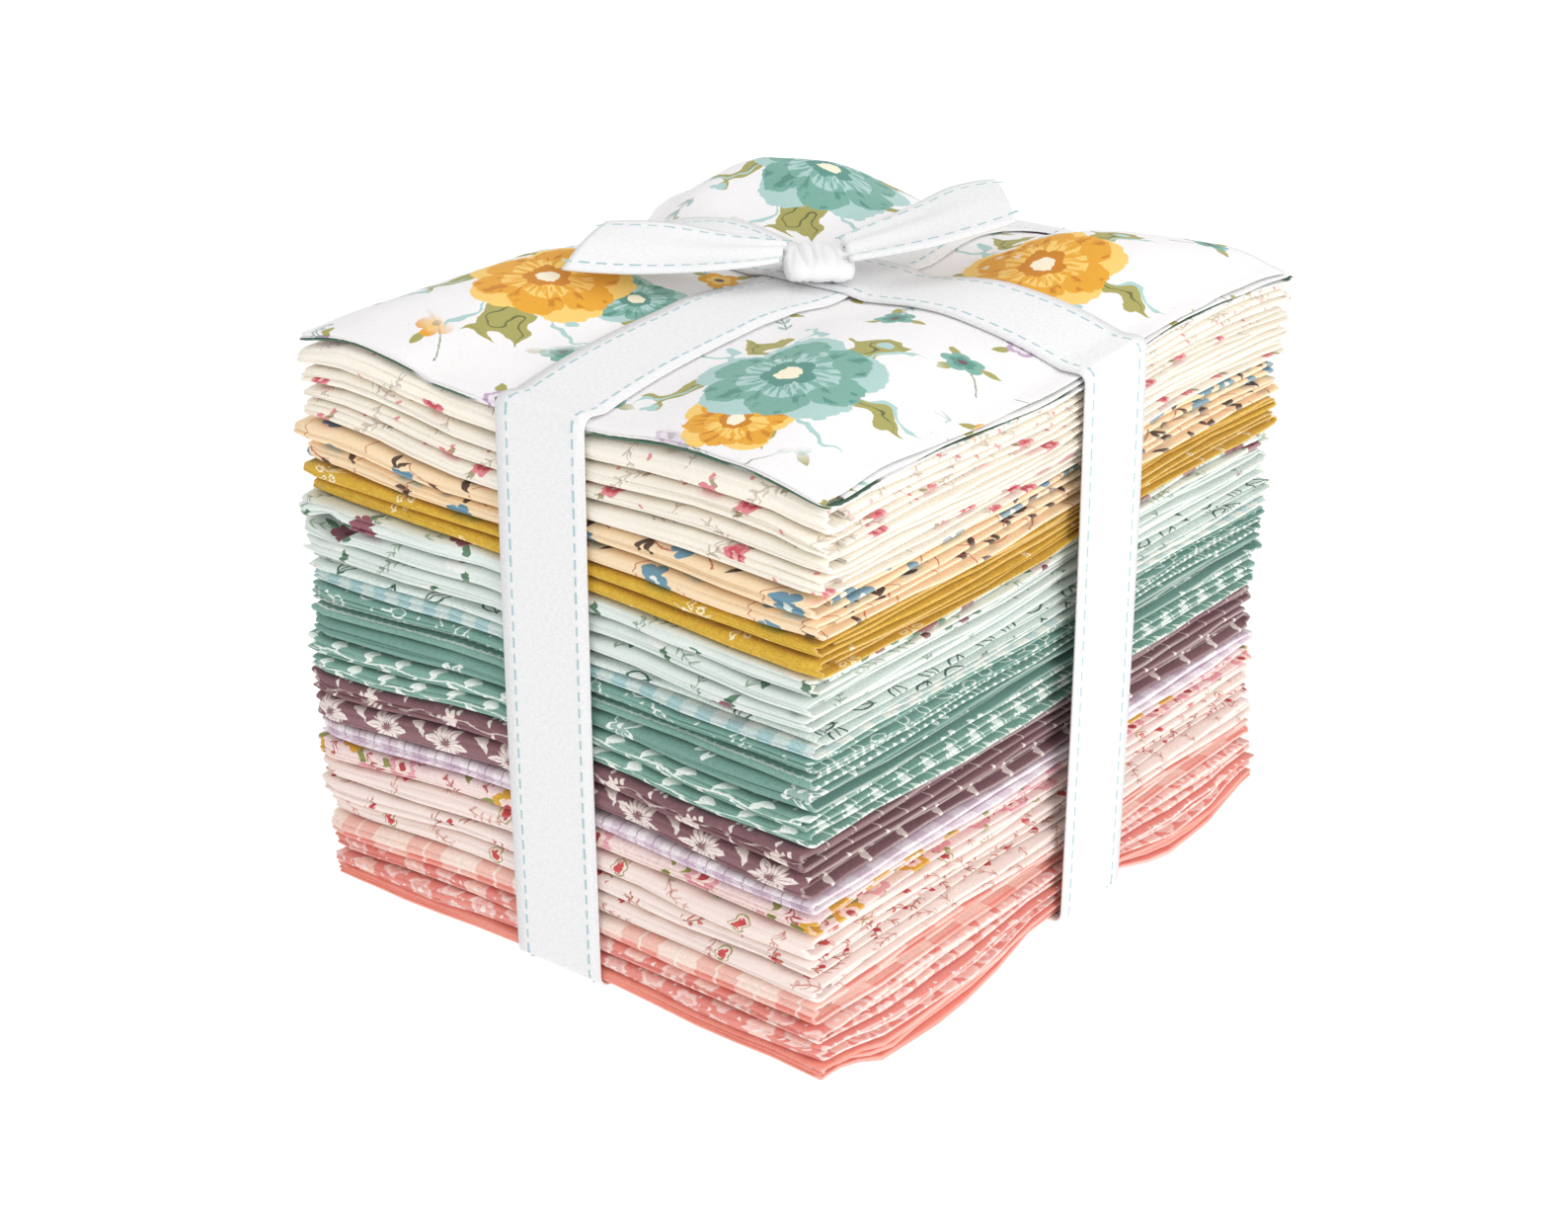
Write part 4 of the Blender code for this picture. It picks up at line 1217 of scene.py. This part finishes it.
for across in np.sin(np.linspace(-math.pi / 2, math.pi / 2, 45)):
    closing = math.sqrt(1.0 - 0.92 * abs(across) ** 9)
    ring = []
    for step in range(KNOT_STEPS):
        angle = 2.0 * math.pi * step / KNOT_STEPS
        swell = 1.0 + 0.03 * math.sin(angle * 3.0 + across * 4.0) - 0.10 * across * across
        reach = math.sin(angle) ** 2
        for place, width, depth in KNOT_PLEATS:
            bend = place + 0.08 * math.sin(angle * 2.0 + place * 9.0)
            swell -= depth * math.exp(-((across - bend) / width) ** 2) * (0.35 + 0.65 * reach)
        y, z = [half * math.copysign(abs(side) ** KNOT_ROUNDNESS, side)
                for half, side in zip(KNOT_HALF[1:], (math.cos(angle), math.sin(angle)))]
        y, z = y * (0.8 + 0.2 * swell), z * swell
        point = knot_place @ Vector((KNOT_HALF[0] * across, y * (0.35 + 0.65 * closing), z * closing))
        ring.append(knot_shape.verts.new(point))
    knot_rings.append(ring)
for ring, following in zip(knot_rings, knot_rings[1:]):
    for i in range(KNOT_STEPS):
        j = (i + 1) % KNOT_STEPS
        knot_shape.faces.new((ring[i], ring[j], following[j], following[i]))
knot_shape.faces.new(knot_rings[0])
knot_shape.faces.new(knot_rings[-1])
bmesh.ops.recalc_face_normals(knot_shape, faces=knot_shape.faces)
knot_mesh = bpy.data.meshes.new("ribbon_knot_cloth")
knot_shape.to_mesh(knot_mesh)
knot_shape.free()
knot_mesh.shade_smooth()
knot_mesh.materials.append(ribbon_white)
knot = lay("ribbon_knot_cloth", knot_mesh)
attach(knot, "root")
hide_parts("ribbon_knot")

# Free ends
# The ribbon's two ends stand out of the knot, gathered there and spread to their full width, and are
# cut straight across.
TAILS = (
    # name, length, rows of front edge x, y, z and back edge x, y, z
    ("left", 0.050, (
        (-0.0028, -0.0104, 0.1526, -0.0117, 0.0044, 0.1530),
        (-0.0076, -0.0232, 0.1530, -0.0194, -0.0043, 0.1555),
        (-0.0195, -0.0365, 0.1535, -0.0290, -0.0150, 0.1585),
        (-0.0350, -0.0485, 0.1537, -0.0415, -0.0260, 0.1595),
    )),
    ("right", 0.040, (
        (0.0103, -0.0008, 0.1530, -0.0032, 0.0132, 0.1536),
        (0.0229, 0.0111, 0.1558, 0.0051, 0.0282, 0.1593),
        (0.0305, 0.0215, 0.1590, 0.0105, 0.0370, 0.1628),
        (0.0355, 0.0295, 0.1605, 0.0175, 0.0470, 0.1645),
    )),
)
TAIL_COLUMNS = 16
TAIL_ROWS = 24
TAIL_BOW = 0.0008
TAIL_GATHER = 0.0009
TAIL_WAVE = 0.0006


def between(rows, t):
    """A smooth run through four rows of numbers, at a share of the way."""
    place = min(t * (len(rows) - 1), len(rows) - 1.0001)
    i = int(place)
    f = place - i
    a, b, c, d = [np.array(rows[max(0, min(len(rows) - 1, i + k))]) for k in (-1, 0, 1, 2)]
    bend = (2 * a - 5 * b + 4 * c - d) * f * f
    return 0.5 * (2 * b + (c - a) * f + bend + (3 * b - a - 3 * c + d) * f ** 3)


for side, length, rows in TAILS:
    grid = []
    for i in range(TAIL_ROWS + 1):
        t = i / TAIL_ROWS
        ends = between(rows, t)
        line = []
        for j in range(TAIL_COLUMNS + 1):
            share = j / TAIL_COLUMNS
            point = Vector(ends[:3]) * (1 - share) + Vector(ends[3:]) * share
            gather = TAIL_GATHER * math.sin(share * 15.0 + 0.6) * (1 - t) ** 2
            bow = TAIL_BOW * math.sin(math.pi * share)
            wave = TAIL_WAVE * math.sin(t * 7.0 + share * 2.5) * t
            line.append(point + Vector((0.0, 0.0, gather + bow + wave)))
        grid.append(line)
    if side == "right":
        grid = [line[::-1] for line in grid]
    add_ribbon(f"ribbon_tail_{side}", grid, False)

# Floor, light and camera
# The bundle stands on a white table, seen from a little above its front corner. A soft box to the right
# is the main light, a weak one in front fills the shade, and one overhead brightens the top.
AZIMUTH = math.radians(38.31)
ELEVATION = math.radians(22.50)
DISTANCE = 0.634
TARGET_RIGHT = -0.0074
TARGET_HEIGHT = 0.0664
LENS = 59.66
FLOOR_HALF = 12.0
TABLE_GLOW = 0.91
SKY_STRENGTH = 0.74
right = Vector((math.cos(AZIMUTH), math.sin(AZIMUTH), 0.0))
away = Vector((math.sin(AZIMUTH) * math.cos(ELEVATION), -math.cos(AZIMUTH) * math.cos(ELEVATION),
               math.sin(ELEVATION)))
camera = lay("camera", bpy.data.cameras.new("camera"))
camera.data.lens = LENS
camera.data.sensor_width = 36.0
camera.data.clip_start = 0.01
camera.location = right * TARGET_RIGHT + Vector((0.0, 0.0, TARGET_HEIGHT)) + away * DISTANCE
camera.rotation_euler = away.to_track_quat("Z", "Y").to_euler()
bpy.context.scene.camera = camera

ground = bmesh.new()
bmesh.ops.create_grid(ground, x_segments=1, y_segments=1, size=FLOOR_HALF)
floor_mesh = bpy.data.meshes.new("floor")
ground.to_mesh(floor_mesh)
ground.free()
floor = lay("floor", floor_mesh)
paper, _ = new_material("white table", {"Base Color": tint(128, 128, 128), "Roughness": 0.9,
                                        "Emission Color": (1.0, 1.0, 1.0, 1.0),
                                        "Emission Strength": TABLE_GLOW})
floor_mesh.materials.append(paper)

world = bpy.data.worlds.new("studio")
world.use_nodes = True
backdrop = world.node_tree.nodes["Background"]
backdrop.inputs["Color"].default_value = (1.0, 1.0, 1.0, 1.0)
backdrop.inputs["Strength"].default_value = SKY_STRENGTH
bpy.context.scene.world = world
bpy.context.scene.view_settings.view_transform = "Standard"


def add_light(name, place, aim, size, power):
    """A square soft box."""
    light = lay(name, bpy.data.lights.new(name, "AREA"))
    light.data.size = size
    light.data.energy = power
    light.location = place
    light.rotation_euler = (Vector(place) - Vector(aim)).to_track_quat("Z", "Y").to_euler()


add_light("key", (1.2, -0.25, 0.6), (0.0, 0.0, 0.07), 0.7, 7.4)
add_light("fill", (-0.5, -1.1, 0.5), (0.0, 0.0, 0.07), 0.9, 0.4)
add_light("overhead", (-0.1, 0.1, 1.1), (0.0, 0.0, 0.15), 0.9, 1.6)
